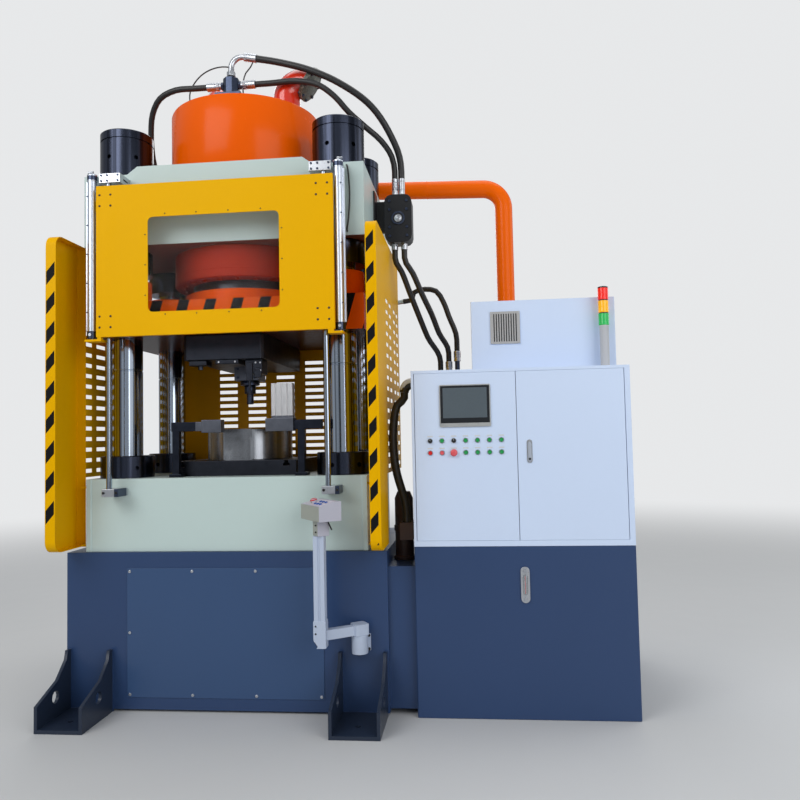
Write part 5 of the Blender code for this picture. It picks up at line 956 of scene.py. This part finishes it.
def buildLift(name, side, x):  # one lift cylinder with its caps, rail, arms, rod and fittings
    y, low, top, r, bore = door["y"], door["liftLow"], door["liftTop"], door["lift"], door["barrelBore"]
    profile = [(bore, low), (r - 0.002, low), (r, low + 0.003), (r, low + 0.04), (r - 0.002, low + 0.042),
        (r - 0.002, top - 0.042), (r, top - 0.04), (r, top - 0.003), (r - 0.003, top), (bore, top)]
    put("liftBarrel_" + name, lathe(profile, 48, (x, y, 0)), "aluminium", node="lift_cylinder_" + name)
    caps = []
    for inner, start, end in ((bore + 0.0002, low - 0.0002, low + 0.04), (r - 0.003, top - 0.036, top - 0.01)):
        outer = r + 0.0004
        caps.append(lathe([(inner, start), (outer, start), (outer, end), (inner, end)], 48, (x, y, 0)))
    put("liftCaps_" + name, caps, "dark")
    rail = block((x + side * (r - 0.004), x + side * (r + 0.006)), (y - 0.007, y + 0.007), (low + 0.042, top - 0.044))
    slot = block((x + side * (r + 0.003), x + side * (r + 0.008)), (y - 0.002, y + 0.002), (low, top))
    firm("liftRail_" + name, drilled(rail, [slot]), "aluminium", 0.001)
    spots = grid((x + side * (r - 0.01),), y - 0.0245, door["railScrews"])
    screws("liftScrews_" + name, spots, toFront, 0.0042, 0.004, "dark")
    arms = [block((x - 0.018, x + 0.018), (y + r - 0.006, 0.0397), (z, z + 0.03)) for z in door["arms"]]
    firm("liftArms_" + name, arms, "fitting", 0.002)
    start, end, rod = door["rodStart"], door["rodStart"] + door["rodLength"], door["pistonRod"]
    profile = [(0, start), (rod, start), (rod, end), (0, end)]
    put("pistonRod_" + name, lathe(profile, 40, (x, y, 0)), "rod", "guard_door", "lift_rod_" + name)
    fittings = [tube([(x, y - 0.03, low + 0.02), (x, y - 0.024, low + 0.02)], 0.009, 16),
        tube([(x, y, top - 0.002), (x, y, top + 0.022)], 0.008, 6),
        tube([(x, y - 0.002, top + 0.016), (x + side * 0.026, y - 0.002, top + 0.016)], 0.006, 16)]
    put("liftFittings_" + name, fittings, "fitting")


def buildGuides():
    for name, side, rodX, liftX in zip(("left", "right"), (-1, 1), door["rodX"], door["liftX"]):
        buildGuide(name, side, rodX)
        buildLift(name, side, liftX)


def dressDoor():
    front = door["front"]
    put("doorPane", block(*door["pane"]), "pane", "guard_door", "door_window", smooth=False)
    screws("doorScrews", grid(door["cornerX"], front, door["cornerZ"]), toFront, 0.0068, 0.0035, "rust",
        "guard_door", hexed=False)
    spots = grid(door["edgeX"], front, door["edgeZ"]) + grid(door["sideX"], front, door["sideZ"])
    screws("paneScrews", spots, toFront, 0.0042, 0.0024, "rust", "guard_door", hexed=False)


buildGuides()
dressDoor()
print("guard door")


# electric cabinet, its doors, controls and tower

cabinet = {"left": (1.1174, 1.6799), "right": (1.6829, 2.2664), "z": (0.9641, 1.8935), "edge": 0.018, "sheet": 0.0025,
           "screenX": (1.257, 1.541), "screenZ": (1.5913, 1.8273), "first": 1.201, "pitch": 0.0657,
           "rows": (1.5163, 1.4493), "stem": 0.0108, "bezel": 0.015, "latchX": 1.7474, "latchZ": (1.3853, 1.5143),
           "screenHole": ((1.2697, 1.5283), (-0.02, 0.02), (1.604, 1.8146)),
           "live": ((0, 0), (2, 0), (0, 1), (1, 1), (2, 1)),  # column and row of the controls that move
           "controls": (("button_red_left_cap", "button_red_left", "cap", (0, 1), 32, "red"),
                        ("button_red_right_cap", "button_red_right", "cap", (1, 1), 32, "rose"),
                        ("stopHead", "emergency_stop", "head", (2, 1), 40, "rose"),
                        ("selector_left_knob", "selector_left", "knob", (0, 0), 32, "ink"),
                        ("selector_right_knob", "selector_right", "knob", (2, 0), 32, "ink"))}
tower = {"x": 2.2114, "y": 0.24, "base": 1.9116, "foot": 0.253, "pitch": 0.0745, "lens": 0.0685, "radius": 0.0285,
         "joint": 0.0272, "ribs": 9}
gauge = {"x": 1.703, "z": (0.626, 0.822), "half": 0.0245, "glass": 0.012, "inset": 0.042, "bolt": 0.022}
vent = {"x": (1.558, 1.733), "z": (2.083, 2.277), "slots": 10, "face": 0.2918}


def stadium(cx, half, z, y, sides=10):  # a plate with round ends, upright on the cabinet's face
    low, high = z[0] + half, z[1] - half
    arcs = [(half * math.cos(math.pi * step / sides), half * math.sin(math.pi * step / sides))
        for step in range(sides + 1)]
    outline = [(cx + a, high + b) for a, b in arcs] + [(cx - a, low - b) for a, b in arcs]
    return skinned([[at(px, depth, pz) for px, pz in outline] for depth in y])


def doorTray(x, holes):
    z, sheet = cabinet["z"], cabinet["sheet"]
    pocket = block((x[0] + sheet, x[1] - sheet), (sheet, cabinet["edge"] + 0.01), (z[0] + sheet, z[1] - sheet))
    return drilled(block(x, (0, cabinet["edge"]), z), [pocket] + holes)


def buildDoors():
    s, b = cabinet["stem"], cabinet["bezel"]
    places = {(column, row): (cabinet["first"] + cabinet["pitch"] * column, cabinet["rows"][row])
        for column in range(7) for row in range(2)}
    holes = [tube([(x, -0.02, z), (x, 0.02, z)], s + 0.0003, 24) for x, z in (places[key] for key in cabinet["live"])]
    holes.append(block(*cabinet["screenHole"]))
    for side, tools in (("left", holes), ("right", [])):
        firm("door" + side.title(), doorTray(cabinet[side], tools), "white", 0.0012, side + "_door",
            "cabinet_door_" + side, 3)
    rims, caps, labels = [], [], []
    for key, (x, z) in places.items():
        rims.append(lathe([(s + 0.0004, 0), (b, 0), (b, 0.0022), (b - 0.0012, 0.004), (s + 0.0012, 0.004),
            (s + 0.0004, 0.0028)], 32, (x, 0, z), "-Y"))
        labels.append(block((x - 0.015, x + 0.015), (-0.0006, 0.0002), (z + 0.0215, z + 0.0285)))
        if key not in cabinet["live"]:
            caps.append(lathe([(0, 0.009), (s * 0.75, 0.0094), (s * 0.92, 0.01), (s, 0.009), (s, 0), (0, 0)], 32,
                (x, 0, z), "-Y"))
    put("controlRims", rims, "fitting", "left_door")
    put("greenCaps", caps, "leaf", "left_door")
    firm("controlLabels", labels, "label", 0.0003, "left_door")
    stem = [(s, -0.018), (0, -0.018)]
    profiles = {"cap": [(0, 0.01), (s * 0.75, 0.0104), (s * 0.92, 0.011), (s, 0.01)],
        "head": [(0, 0.025), (0.009, 0.0248), (0.015, 0.0235), (0.0188, 0.0205), (0.02, 0.0165), (0.0196, 0.0125),
        (0.018, 0.011), (s, 0.011)], "knob": [(0, 0.011), (s * 0.9, 0.011), (s, 0.01)]}
    for name, node, kind, key, sides, look in cabinet["controls"]:
        x, z = places[key]
        put(name, lathe(profiles[kind] + stem, sides, (x, 0, z), "-Y"), look, node, node)
        if kind == "knob":
            grip = stadium(x, 0.0042, (z - 0.0104, z + 0.0104), (-0.019, -0.0055))
            firm(node + "_grip", grip, "ink", 0.0012, node)
            mark = stadium(x, 0.0009, (z + 0.0008, z + 0.0098), (-0.0192, -0.0185), 4)
            put(node + "_mark", mark, "label", node, smooth=False)


def buildScreen():
    (left, right), (low, high) = cabinet["screenX"], cabinet["screenZ"]
    frameForm = block((left + 0.006, right - 0.006), (-0.0095, -0.008), (low + 0.022, high - 0.006))
    firm("screenFrame", frameForm, "screenFrame", 0.001, "left_door")
    face = block((left + 0.02, right - 0.02), (-0.0099, -0.009), (low + 0.05, high - 0.018))
    firm("screenFace", face, "screen", 0.0003, "left_door")


def buildLatch():
    x, (low, high) = cabinet["latchX"], cabinet["latchZ"]
    rim = drilled(stadium(x, 0.015, (low, high), (-0.004, 0.001)),
        [stadium(x, 0.0118, (low + 0.0032, high - 0.0032), (-0.006, -0.0004))])
    firm("latchRim", rim, "fitting", 0.0006, "right_door")
    lever = stadium(x, 0.0096, (low + 0.008, high - 0.013), (-0.0085, -0.0006))
    firm("latchLever", lever, "aluminium", 0.002, "latch", node="cabinet_latch", segments=3)
    put("latchPin", lathe([(0, 0.0092), (0.0062, 0.0092), (0.0066, 0.0086), (0.0066, 0.004), (0, 0.004)], 24,
        (x, 0, low + 0.022), "-Y"), "ink", "latch")


def buildTower():
    place, base, pitch = (tower["x"], tower["y"], 0), tower["base"], tower["pitch"]
    level = base + tower["foot"]
    profile = [(0, base), (0.03, base), (0.03, base + 0.01), (0.026, base + 0.014), (0.026, level - 0.013),
        (0.0275, level - 0.01), (0.0275, level), (0, level)]
    put("towerBase", lathe(profile, 40, place), "cream", node="signal_tower")
    for name in ("lensGreen", "lensAmber", "lensRed"):
        r, top = tower["radius"], level + tower["lens"]
        profile = [(0, level), (r, level)]
        for step in range(tower["ribs"]):
            height = level + 0.004 + 0.0605 * step / 8
            profile += [(r + 0.0013, height), (r + 0.0005, height + 0.003)]
        put(name + "Ring", lathe(profile + [(r, top), (0, top)], 40, place), name)
        level += pitch
    r = tower["joint"]
    joints = [lathe([(0, high - 0.006), (r, high - 0.006), (r, high), (0, high)], 40, place)
        for high in (level - 2 * pitch, level - pitch)]
    joints.append(lathe([(0, level - 0.006), (0.0296, level - 0.006), (0.029, level + 0.001), (0.02, level + 0.004),
        (0, level + 0.004)], 40, place))
    put("towerJoints", joints, "ink")


def buildGauge():
    x, (low, high), inset, half = gauge["x"], gauge["z"], gauge["inset"], gauge["glass"]
    plate = stadium(x, gauge["half"], (low, high), (-0.01, -0.0003))
    window = stadium(x, half + 0.0005, (low + inset, high - inset), (-0.02, -0.002))
    firm("gaugePlate", drilled(plate, [window]), "fitting", 0.0015, node="level_gauge")
    pane = stadium(x, half, (low + inset + 0.0005, high - inset - 0.0005), (-0.0135, -0.0025))
    firm("gaugeWindow", pane, "gauge", 0.003, segments=3)
    put("gaugeRod", tube([(x, -0.006, low + 0.05), (x, -0.006, high - 0.05)], 0.003, 16), "red")
    spots = grid((x,), -0.01, (low + gauge["bolt"], high - gauge["bolt"]))
    screws("gaugeBolts", spots, toFront, 0.0105, 0.009)


def buildVent():
    (left, right), (low, high), y = vent["x"], vent["z"], vent["face"]
    pitch = (right - left - 0.03) / vent["slots"]
    slots = []
    for step in range(vent["slots"]):
        x = left + 0.015 + pitch * step
        slots.append(block((x + pitch * 0.28, x + pitch * 0.72), (0.28, 0.3), (low + 0.014, high - 0.014)))
    firm("ventGrille", drilled(block((left, right), (y, y + 0.0027), (low, high)), slots), "vent", 0.0008)
    # a black sheet behind the slots: painted shade inside the vent
    shadeSheet = block((left + 0.004, right - 0.004), (y + 0.0026, y + 0.0038), (low + 0.004, high - 0.004))
    firm("ventShadeSheet", shadeSheet, "ink", 0.0003)
    spots = grid((left + 0.007, right - 0.007), y, (low + 0.007, high - 0.007))
    screws("ventScrews", spots, toFront, 0.0035, 0.002, hexed=False)


buildDoors()
buildScreen()
buildLatch()
buildTower()
buildGauge()
buildVent()
print("cabinet")


# return pipe and power pack behind the cabinet

pipe = {"radius": 0.062, "y": 1.176, "inlet": 1.0433, "start": 3.369, "end": 3.319, "bend": 0.125, "farBend": 0.15,
        "downX": 1.6954, "low": 0.9323, "flange": 0.095, "boltCircle": 0.08, "firstBolt": 22 / 45,
        "beads": (0.3, 0.72)}


def buildPipe():
    y, r, bow, far, x, z = pipe["y"], pipe["radius"], pipe["bend"], pipe["farBend"], pipe["downX"], pipe["start"]
    path = [(0, pipe["inlet"], z)] + arc((bow, y - bow, z), (-bow, 0, 0), (0, bow, 0), 90, 12)
    path += arc((x - far, y, pipe["end"] - far), (0, 0, far), (far, 0, 0), 90, 16) + [(x, y, pipe["low"])]
    put("returnPipe", tube(path, r, 48), "pipe", node="return_pipe")
    low, f = pipe["low"], pipe["flange"]
    rings = [lathe([(r - 0.002, low), (f, low), (f, low + 0.018), (f - 0.003, low + 0.022),
        (r + 0.004, low + 0.022), (r + 0.002, low + 0.03), (r - 0.002, low + 0.034)], 48, (x, y, 0)),
        tube([(0, pipe["inlet"] + reach, z) for reach in (0, 0.0052, 0.0072)], [r + 0.012, r + 0.01, r], 48)]
    for share in pipe["beads"]:  # weld beads where the straight lengths meet
        beadX, beadZ = bow + (x - far - bow) * share, z + (pipe["end"] - z) * share
        rings.append(tube([(beadX + reach, y, beadZ) for reach in (-0.004, -0.002, 0.002, 0.004)],
            [r, r + 0.002, r + 0.002, r], 48))
    put("pipeFlange", rings, "pipe")
    spots = [(x + a, y + b, low + 0.022) for a, b in circle(8, pipe["boltCircle"], pipe["firstBolt"])]
    screws("pipeBolts", spots, toTop, 0.0085, 0.01)


motor = {"radius": 0.125, "x": 1.8294, "length": 0.39, "y": 1.0, "axis": 1.0873, "base": 0.9323, "pump": 0.075,
         "pumpLength": 0.16, "fins": 28, "grille": (0.03, 0.046, 0.062, 0.078, 0.094)}
manifold = {"x": 1.1694, "face": 1.04, "base": 0.9323, "pitch": 0.075, "levels": (0.085, 0.205),
            "risers": ((1.2269, 1.9823), (1.2844, 2.0523), (1.3419, 2.1223))}
valveBlock = {"x": 1.004, "face": 0.44, "z": 2.918, "bolts": ((0.95, 1.058), (2.806, 2.862, 2.974, 3.03)),
              "ferrules": {"blockFerruleMain": (1.025, 3.08, 3.1862, 0.0215),  # x, both ends and radius
                           "blockFerruleSecond": (0.983, 3.08, 3.1862, 0.02),
                           "portFerrule": (-0.602, 3.15, 3.2242, 0.0215),
                           "blockFerruleA": (0.974, 2.766, 2.7292, 0.0215),
                           "blockFerruleB": (1.034, 2.766, 2.7292, 0.0215)}}


def buildMotor():
    x, y, z, r, length = motor["x"], motor["y"], motor["axis"], motor["radius"], motor["length"]
    place, base = (x, y, z), motor["base"]
    core = lathe([(0, 0), (r * 0.8, 0), (r * 0.88, 0.012), (r * 0.88, length - 0.09), (r, length - 0.09),
        (r, length - 0.008), (r - 0.01, length), (0, length)], 64, place, "X")
    put("motorBody", core, "motor", node="pump_motor")
    fins = []
    for step in range(motor["fins"]):
        form = block((x + 0.02, x + length - 0.096), (y + r * 0.84, y + r * 0.985), (z - 0.0022, z + 0.0022))
        turn = Matrix.Rotation(2 * math.pi * step / motor["fins"], 3, "X")
        bmesh.ops.rotate(form, verts=form.verts, cent=at(x, y, z), matrix=turn)
        fins.append(form)
    put("motorFins", fins, "motor", smooth=False)
    grille = [lathe([(inner, length + 0.0002), (inner + 0.006, length + 0.0002), (inner + 0.006, length - 0.002),
        (inner, length - 0.002)], 48, place, "X") for inner in motor["grille"]]
    put("motorGrille", grille, "ink")
    near, far, box, high = x + length / 5, x + length * 4 / 5, x + length / 3, z + r
    feet = [lathe([(0, -0.012), (r * 0.72, -0.012), (r * 0.84, 0.0), (r * 0.84, 0.014), (0, 0.014)], 48, place,
        "X"), block((near, far), (y - 0.1, y + 0.1), (base, base + 0.016)),
        block((near + 0.01, near + 0.03), (y - 0.085, y + 0.085), (base, z - 0.05)),
        block((far - 0.03, far - 0.01), (y - 0.085, y + 0.085), (base, z - 0.05)),
        block((box, box + 0.11), (y - 0.055, y + 0.055), (z + r / 2, high + 0.062)),
        block((box - 0.004, box + 0.114), (y - 0.059, y + 0.059), (high + 0.056, high + 0.07))]
    firm("motorFeet", feet, "motor", 0.003)
    spots = [(x + length * a, y + b, base + 0.016) for a in (0.26, 0.74) for b in (-0.085, 0.085)]
    spots += [(box + a, y + b, high + 0.07) for a in (0.008, 0.102) for b in (-0.047, 0.047)]
    screws("motorScrews", spots, toTop, 0.008, 0.006)
    p, run = motor["pump"], motor["pumpLength"]
    nose = [(0, -run), (p * 0.72, -run), (p * 0.78, -run + 0.006), (p * 0.78, -run + 0.05), (p, -run + 0.056),
        (p, -run + 0.084), (p * 0.9, -run + 0.09), (p * 0.9, -0.02), (p, -0.016), (p, 0), (0, 0)]
    put("pumpNose", lathe(nose, 48, place, "X"), "dark")


def dressManifold():
    x, y, base = manifold["x"], manifold["face"], manifold["base"]
    coils, cores = [], []
    for cx in (x + 0.04 + manifold["pitch"] * column for column in range(3)):
        for z in (base + level for level in manifold["levels"]):
            coils.append(block((cx - 0.026, cx + 0.026), (y - 0.002, y + 0.04), (z - 0.028, z + 0.028)))
            cores.append(tube([(cx, y + 0.038, z), (cx, y + 0.062, z), (cx, y + 0.066, z)], [0.016, 0.016, 0.012], 24))
    firm("valveCoils", coils, "ink", 0.004)
    put("valveCores", cores, "fitting")
    spots = grid([x + 0.018 + 0.097 * step for step in range(3)], y, (base + 0.018, base + 0.282))
    screws("manifoldBolts", spots, toRear, 0.01, 0.01)
    for index, (cx, top) in enumerate(manifold["risers"]):
        ferrule(f"riserFerrule{index}", (cx, 0.94, top - 0.07), (cx, 0.94, top), 0.024)


def dressBlock():
    for name, (x, start, end, radius) in valveBlock["ferrules"].items():
        ferrule(name, (x, 0.5, start), (x, 0.5, end), radius)
    place = (valveBlock["x"], valveBlock["face"], valveBlock["z"])
    ring = [(0.03, 0.001), (0.042, 0.001), (0.043, 0.006), (0.04, 0.0084), (0.033, 0.0084), (0.03, 0.006)]
    put("blockRing", lathe(ring, 40, place, "-Y"), "dark")
    knob = [(0, 0.006), (0.012, 0.006), (0.016, 0.004), (0.027, 0.0034), (0.027, 0.0005), (0, 0.0005)]
    put("blockKnob", lathe(knob, 32, place, "-Y"), "fitting")
    xs, zs = valveBlock["bolts"]
    screws("blockBolts", grid(xs, valveBlock["face"], zs), toFront, 0.0095, 0.008, "dark")


buildPipe()
buildMotor()
dressManifold()
dressBlock()
print("pipe and power pack")


# covers, stiffeners and fittings on the sides that the photograph doesn't show

rear = {"tank": 1.35, "lidX": (1.42, 1.98), "lidZ": 0.5, "manhole": 0.19, "boltCircle": 0.1672, "drainX": 1.7,
        "drainZ": 0.08, "box": 0.78, "boxX": (1.53, 1.98), "boxSide": 2.2868, "louvre": 2.03, "louvres": 9,
        "louvrePitch": 0.026, "top": 0.9323, "breather": (1.56, 1.02), "filter": (1.45, 1.21), "filterBolt": 0.067}
rearPlates = {  # name: look, rounding, y, thickness, both heights and each plate's x
    "plinthRearCover": ("cover", 0.0015, 1.1055, 0.005, (0.075, 0.82), [(-0.6, 0.6)]),
    "guardRearBars": ("rearYellowAndShade", 0.001, 1.0705, 0.006, (1.345, 2.7),
                      [(x - 0.018, x + 0.018) for x in (-0.8, -0.54, 0.0, 0.54, 0.8)]),
    "crownCover": ("crown", 0.0012, 1.086, 0.004, (2.8, 3.06), [(-0.3, 0.3)]),
    "cabinetRearSheets": ("white", 0.0008, 0.8, 0.002, (0.962, 1.882), [(1.05, 1.64), (1.67, 2.265)])}
rearScrews = {  # name, in the plates' order: x, z, radius, height, look and hexagon socket or none
    "plinthRearScrews": ((-0.56, -0.187, 0.187, 0.56), (0.105, 0.79), 0.0085, 0.004, "fitting", True),
    "guardRearScrews": ((-0.8, 0.0, 0.8), (1.38, 1.71, 2.04, 2.37, 2.665), 0.0075, 0.004, "rust", False),
    "crownCoverScrews": ((-0.28, 0.0, 0.28), (2.82, 3.04), 0.0075, 0.004, "fitting", True),
    "cabinetRearScrews": ((1.066, 1.624, 1.686, 2.249), (0.98, 1.42, 1.864), 0.006, 0.003, "fitting", False)}


def buildTankRear():
    y, z, r = rear["tank"], rear["lidZ"], rear["manhole"]
    lids, spots = [], []
    for x in rear["lidX"]:
        lids.append(lathe([(0, 0.012), (r - 0.004, 0.012), (r, 0.008), (r, 0), (0, 0)], 72, (x, y, z), "Y"))
        lids.append(tube([(x - 0.05, y + 0.01, z), (x - 0.05, y + 0.034, z), (x + 0.05, y + 0.034, z),
            (x + 0.05, y + 0.01, z)], 0.007, 12))
        spots += [(x + a, y + 0.012, z + b) for a, b in circle(12, rear["boltCircle"], 0.5)]
    put("tankLids", lids, "cover")
    screws("tankLidBolts", spots, toRear, 0.0095, 0.008)
    x, z = rear["drainX"], rear["drainZ"]
    drain = [tube([(x, y, z), (x, y + 0.03, z)], 0.017, 6), tube([(x, y + 0.028, z), (x, y + 0.05, z)], 0.012, 24)]
    put("tankDrain", drain, "fitting")


def buildRearPlates():
    for (name, (look, width, y, thick, heights, spans)), (screwName, (xs, zs, radius, height, screwLook, hexed)) in zip(
            rearPlates.items(), rearScrews.items()):
        firm(name, [block(span, (y, y + thick), heights) for span in spans], look, width)
        screws(screwName, grid(xs, y + thick, zs), toRear, radius, height, screwLook, hexed=hexed)


def buildBoxRear():
    y, side = rear["box"], rear["boxSide"]
    blades, shadeStrips = [], []
    for z in (rear["louvre"] + rear["louvrePitch"] * step for step in range(rear["louvres"])):
        blades += [block((x, x + 0.22), (y, y + 0.005), (z, z + 0.008)) for x in rear["boxX"]]
        blades.append(block((side, side + 0.0047), (0.43, 0.65), (z, z + 0.008)))
        # black strips under each blade: painted shade in the louvre openings
        shadeStrips += [block((x + 0.004, x + 0.216), (y, y + 0.0012), (z - 0.006, z)) for x in rear["boxX"]]
        shadeStrips.append(block((side, side + 0.0012), (0.434, 0.646), (z - 0.006, z)))
    firm("boxLouvres", blades, "white", 0.001)
    put("boxLouvreShadeStrips", shadeStrips, "ink", smooth=False)


def buildTankTop():
    top = rear["top"]
    breather = [(0, 0.124), (0.026, 0.122), (0.04, 0.112), (0.043, 0.098), (0.043, 0.07), (0.04, 0.06),
        (0.026, 0.056), (0.026, 0.03), (0.04, 0.024), (0.042, 0), (0, 0)]
    put("tankBreather", lathe(breather, 48, (*rear["breather"], top)), "ink")
    lid = [(0, 0.034), (0.06, 0.034), (0.074, 0.028), (0.078, 0.018), (0.078, 0.012), (0.09, 0.01), (0.09, 0),
        (0, 0)]
    x, y = rear["filter"]
    put("filterLid", lathe(lid, 56, (x, y, top)), "dark")
    turn = [math.pi * step / 2 + 0.785 for step in range(4)]
    spots = [(x + rear["filterBolt"] * math.cos(a), y + rear["filterBolt"] * math.sin(a), top + 0.03) for a in turn]
    screws("filterBolts", spots, toTop, 0.008, 0.008)


buildTankRear()
buildRearPlates()
buildBoxRear()
buildTankTop()
print("rear details")


# operator's pendant

pendant = {"x": 0.61, "y": -0.165, "low": 1.1056, "side": 0.064, "rise": (0.08, 0.103), "flat": 0.4, "turn": 34.3,
           "pad": 0.3, "armX": 0.6, "elbow": 0.034, "elbowLow": 0.4253, "neck": 1.0196, "pivot": (0.79, -0.032, 0)}


def onConsole(form, across, along):  # moves a form from the origin onto the sloping top
    side = pendant["side"]
    slope = math.atan2(pendant["rise"][1] - pendant["rise"][0], side * (1 + pendant["flat"]))
    across -= side * pendant["pad"]
    level = pendant["low"] + pendant["rise"][0] + (across + side) * math.tan(slope)
    bmesh.ops.rotate(form, verts=form.verts, cent=(0, 0, 0), matrix=Matrix.Rotation(-slope, 3, "Y"))
    bmesh.ops.translate(form, verts=form.verts, vec=(across, along, level))
    bmesh.ops.rotate(form, verts=form.verts, cent=(0, 0, 0),
        matrix=Matrix.Rotation(math.radians(pendant["turn"]), 3, "Z"))
    bmesh.ops.translate(form, verts=form.verts, vec=at(pendant["x"], pendant["y"], 0))
    return form


def dressConsole():
    px, py = press["x"], press["y"]
    plate = block((px - 0.04, px + 0.048), (py - 0.12, py + 0.12), (-0.0004, 0.0012))
    firm("consolePlate", onConsole(plate, 0.0, 0.0), "consoleTop", 0.0004, "pendant_box")
    cap = [(0, 0.0068), (0.007, 0.0066), (0.0084, 0.0056), (0.0086, 0), (0, 0)]
    caps = [onConsole(lathe(cap, 24, (px, py, 0)), across, -0.013 - 0.036 * index) for index in range(3)
        for across in (-0.016, 0.016)]
    put("consoleCaps", caps, "blue", "pendant_box")
    stop = [(0, 0.0215), (0.01, 0.0212), (0.0165, 0.0195), (0.0196, 0.0155), (0.0194, 0.012), (0.0175, 0.0105),
        (0.01, 0.0105), (0.01, 0), (0, 0)]
    put("consoleStop", onConsole(lathe(stop, 32, (px, py, 0)), 0.0, 0.0455), "red", "pendant_box")
    x, y, neck = pendant["armX"], pendant["y"], pendant["neck"]
    lever = [(x + 0.052, y - 0.02, 1.11), (x + 0.056, y - 0.022, 1.09), (x + 0.074, y - 0.026, 1.052)]
    put("consoleLever", tube(lever, 0.0042, 16), "ink", "pendant_box")
    return [(x - 0.012, y - 0.034, neck + 0.022), (x - 0.012, y - 0.034, neck + 0.058)]


def dressPendant():
    neckSpots = dressConsole()
    x, y, low = pendant["armX"], pendant["y"], pendant["elbowLow"]
    spots = grid((x - 0.02,), y - 0.0344, (low + 0.078, low + 0.118))
    screws("elbowScrews", spots, toFront, 0.0048, 0.003, "ink", "pendant_arm")
    screws("neckScrews", neckSpots, toFront, 0.0048, 0.003, "ink", "pendant_box")
    h = pendant["elbow"] + 0.0004  # the elbow's lower corner is cut off and closed by a black cap
    outline = [(-h, 0.045), (-h, 0.1435), (h, 0.1435), (h, -0.0002), (-0.006, -0.0002)]
    shell = skinned([[at(x + across, y + side * h, low + up) for across, up in outline] for side in (-1, 1)])
    firm("elbowShell", shell, "pendant", 0.004, "pendant_arm")
    first, last = Vector((x - h, y, low + 0.045)), Vector((x - 0.006, y, low))
    along = (last - first).normalized()
    out = Vector((along.z, 0, -along.x))
    corners = ((first, 0.003, -1), (first, 0.003, 1), (last, -0.003, 1), (last, -0.003, -1))
    cap = skinned([[at(*(corner + along * inset + Vector((0, side * 0.0285, 0)) + out * depth))
        for corner, inset, side in corners] for depth in (-0.002, 0.003)])
    firm("elbowCap", cap, "ink", 0.002, "pendant_arm")
    place = pendant["pivot"]
    collar = [(0.04, 0.4603), (0.045, 0.4603), (0.0455, 0.459), (0.0455, 0.45), (0.04, 0.449)]
    put("bracketCollar", lathe(collar, 48, place), "pendant")
    boss = [(0, 0.36), (0.0448, 0.36), (0.0452, 0.362), (0.0452, 0.4585), (0, 0.4585)]
    put("bracketBoss", lathe(boss, 48, place), "pendant")
    screws("bracketScrews", grid((0.745, 0.835), 0.0147, (0.369, 0.443)), toFront, 0.008, 0.007, "ink")


dressPendant()
print("pendant")
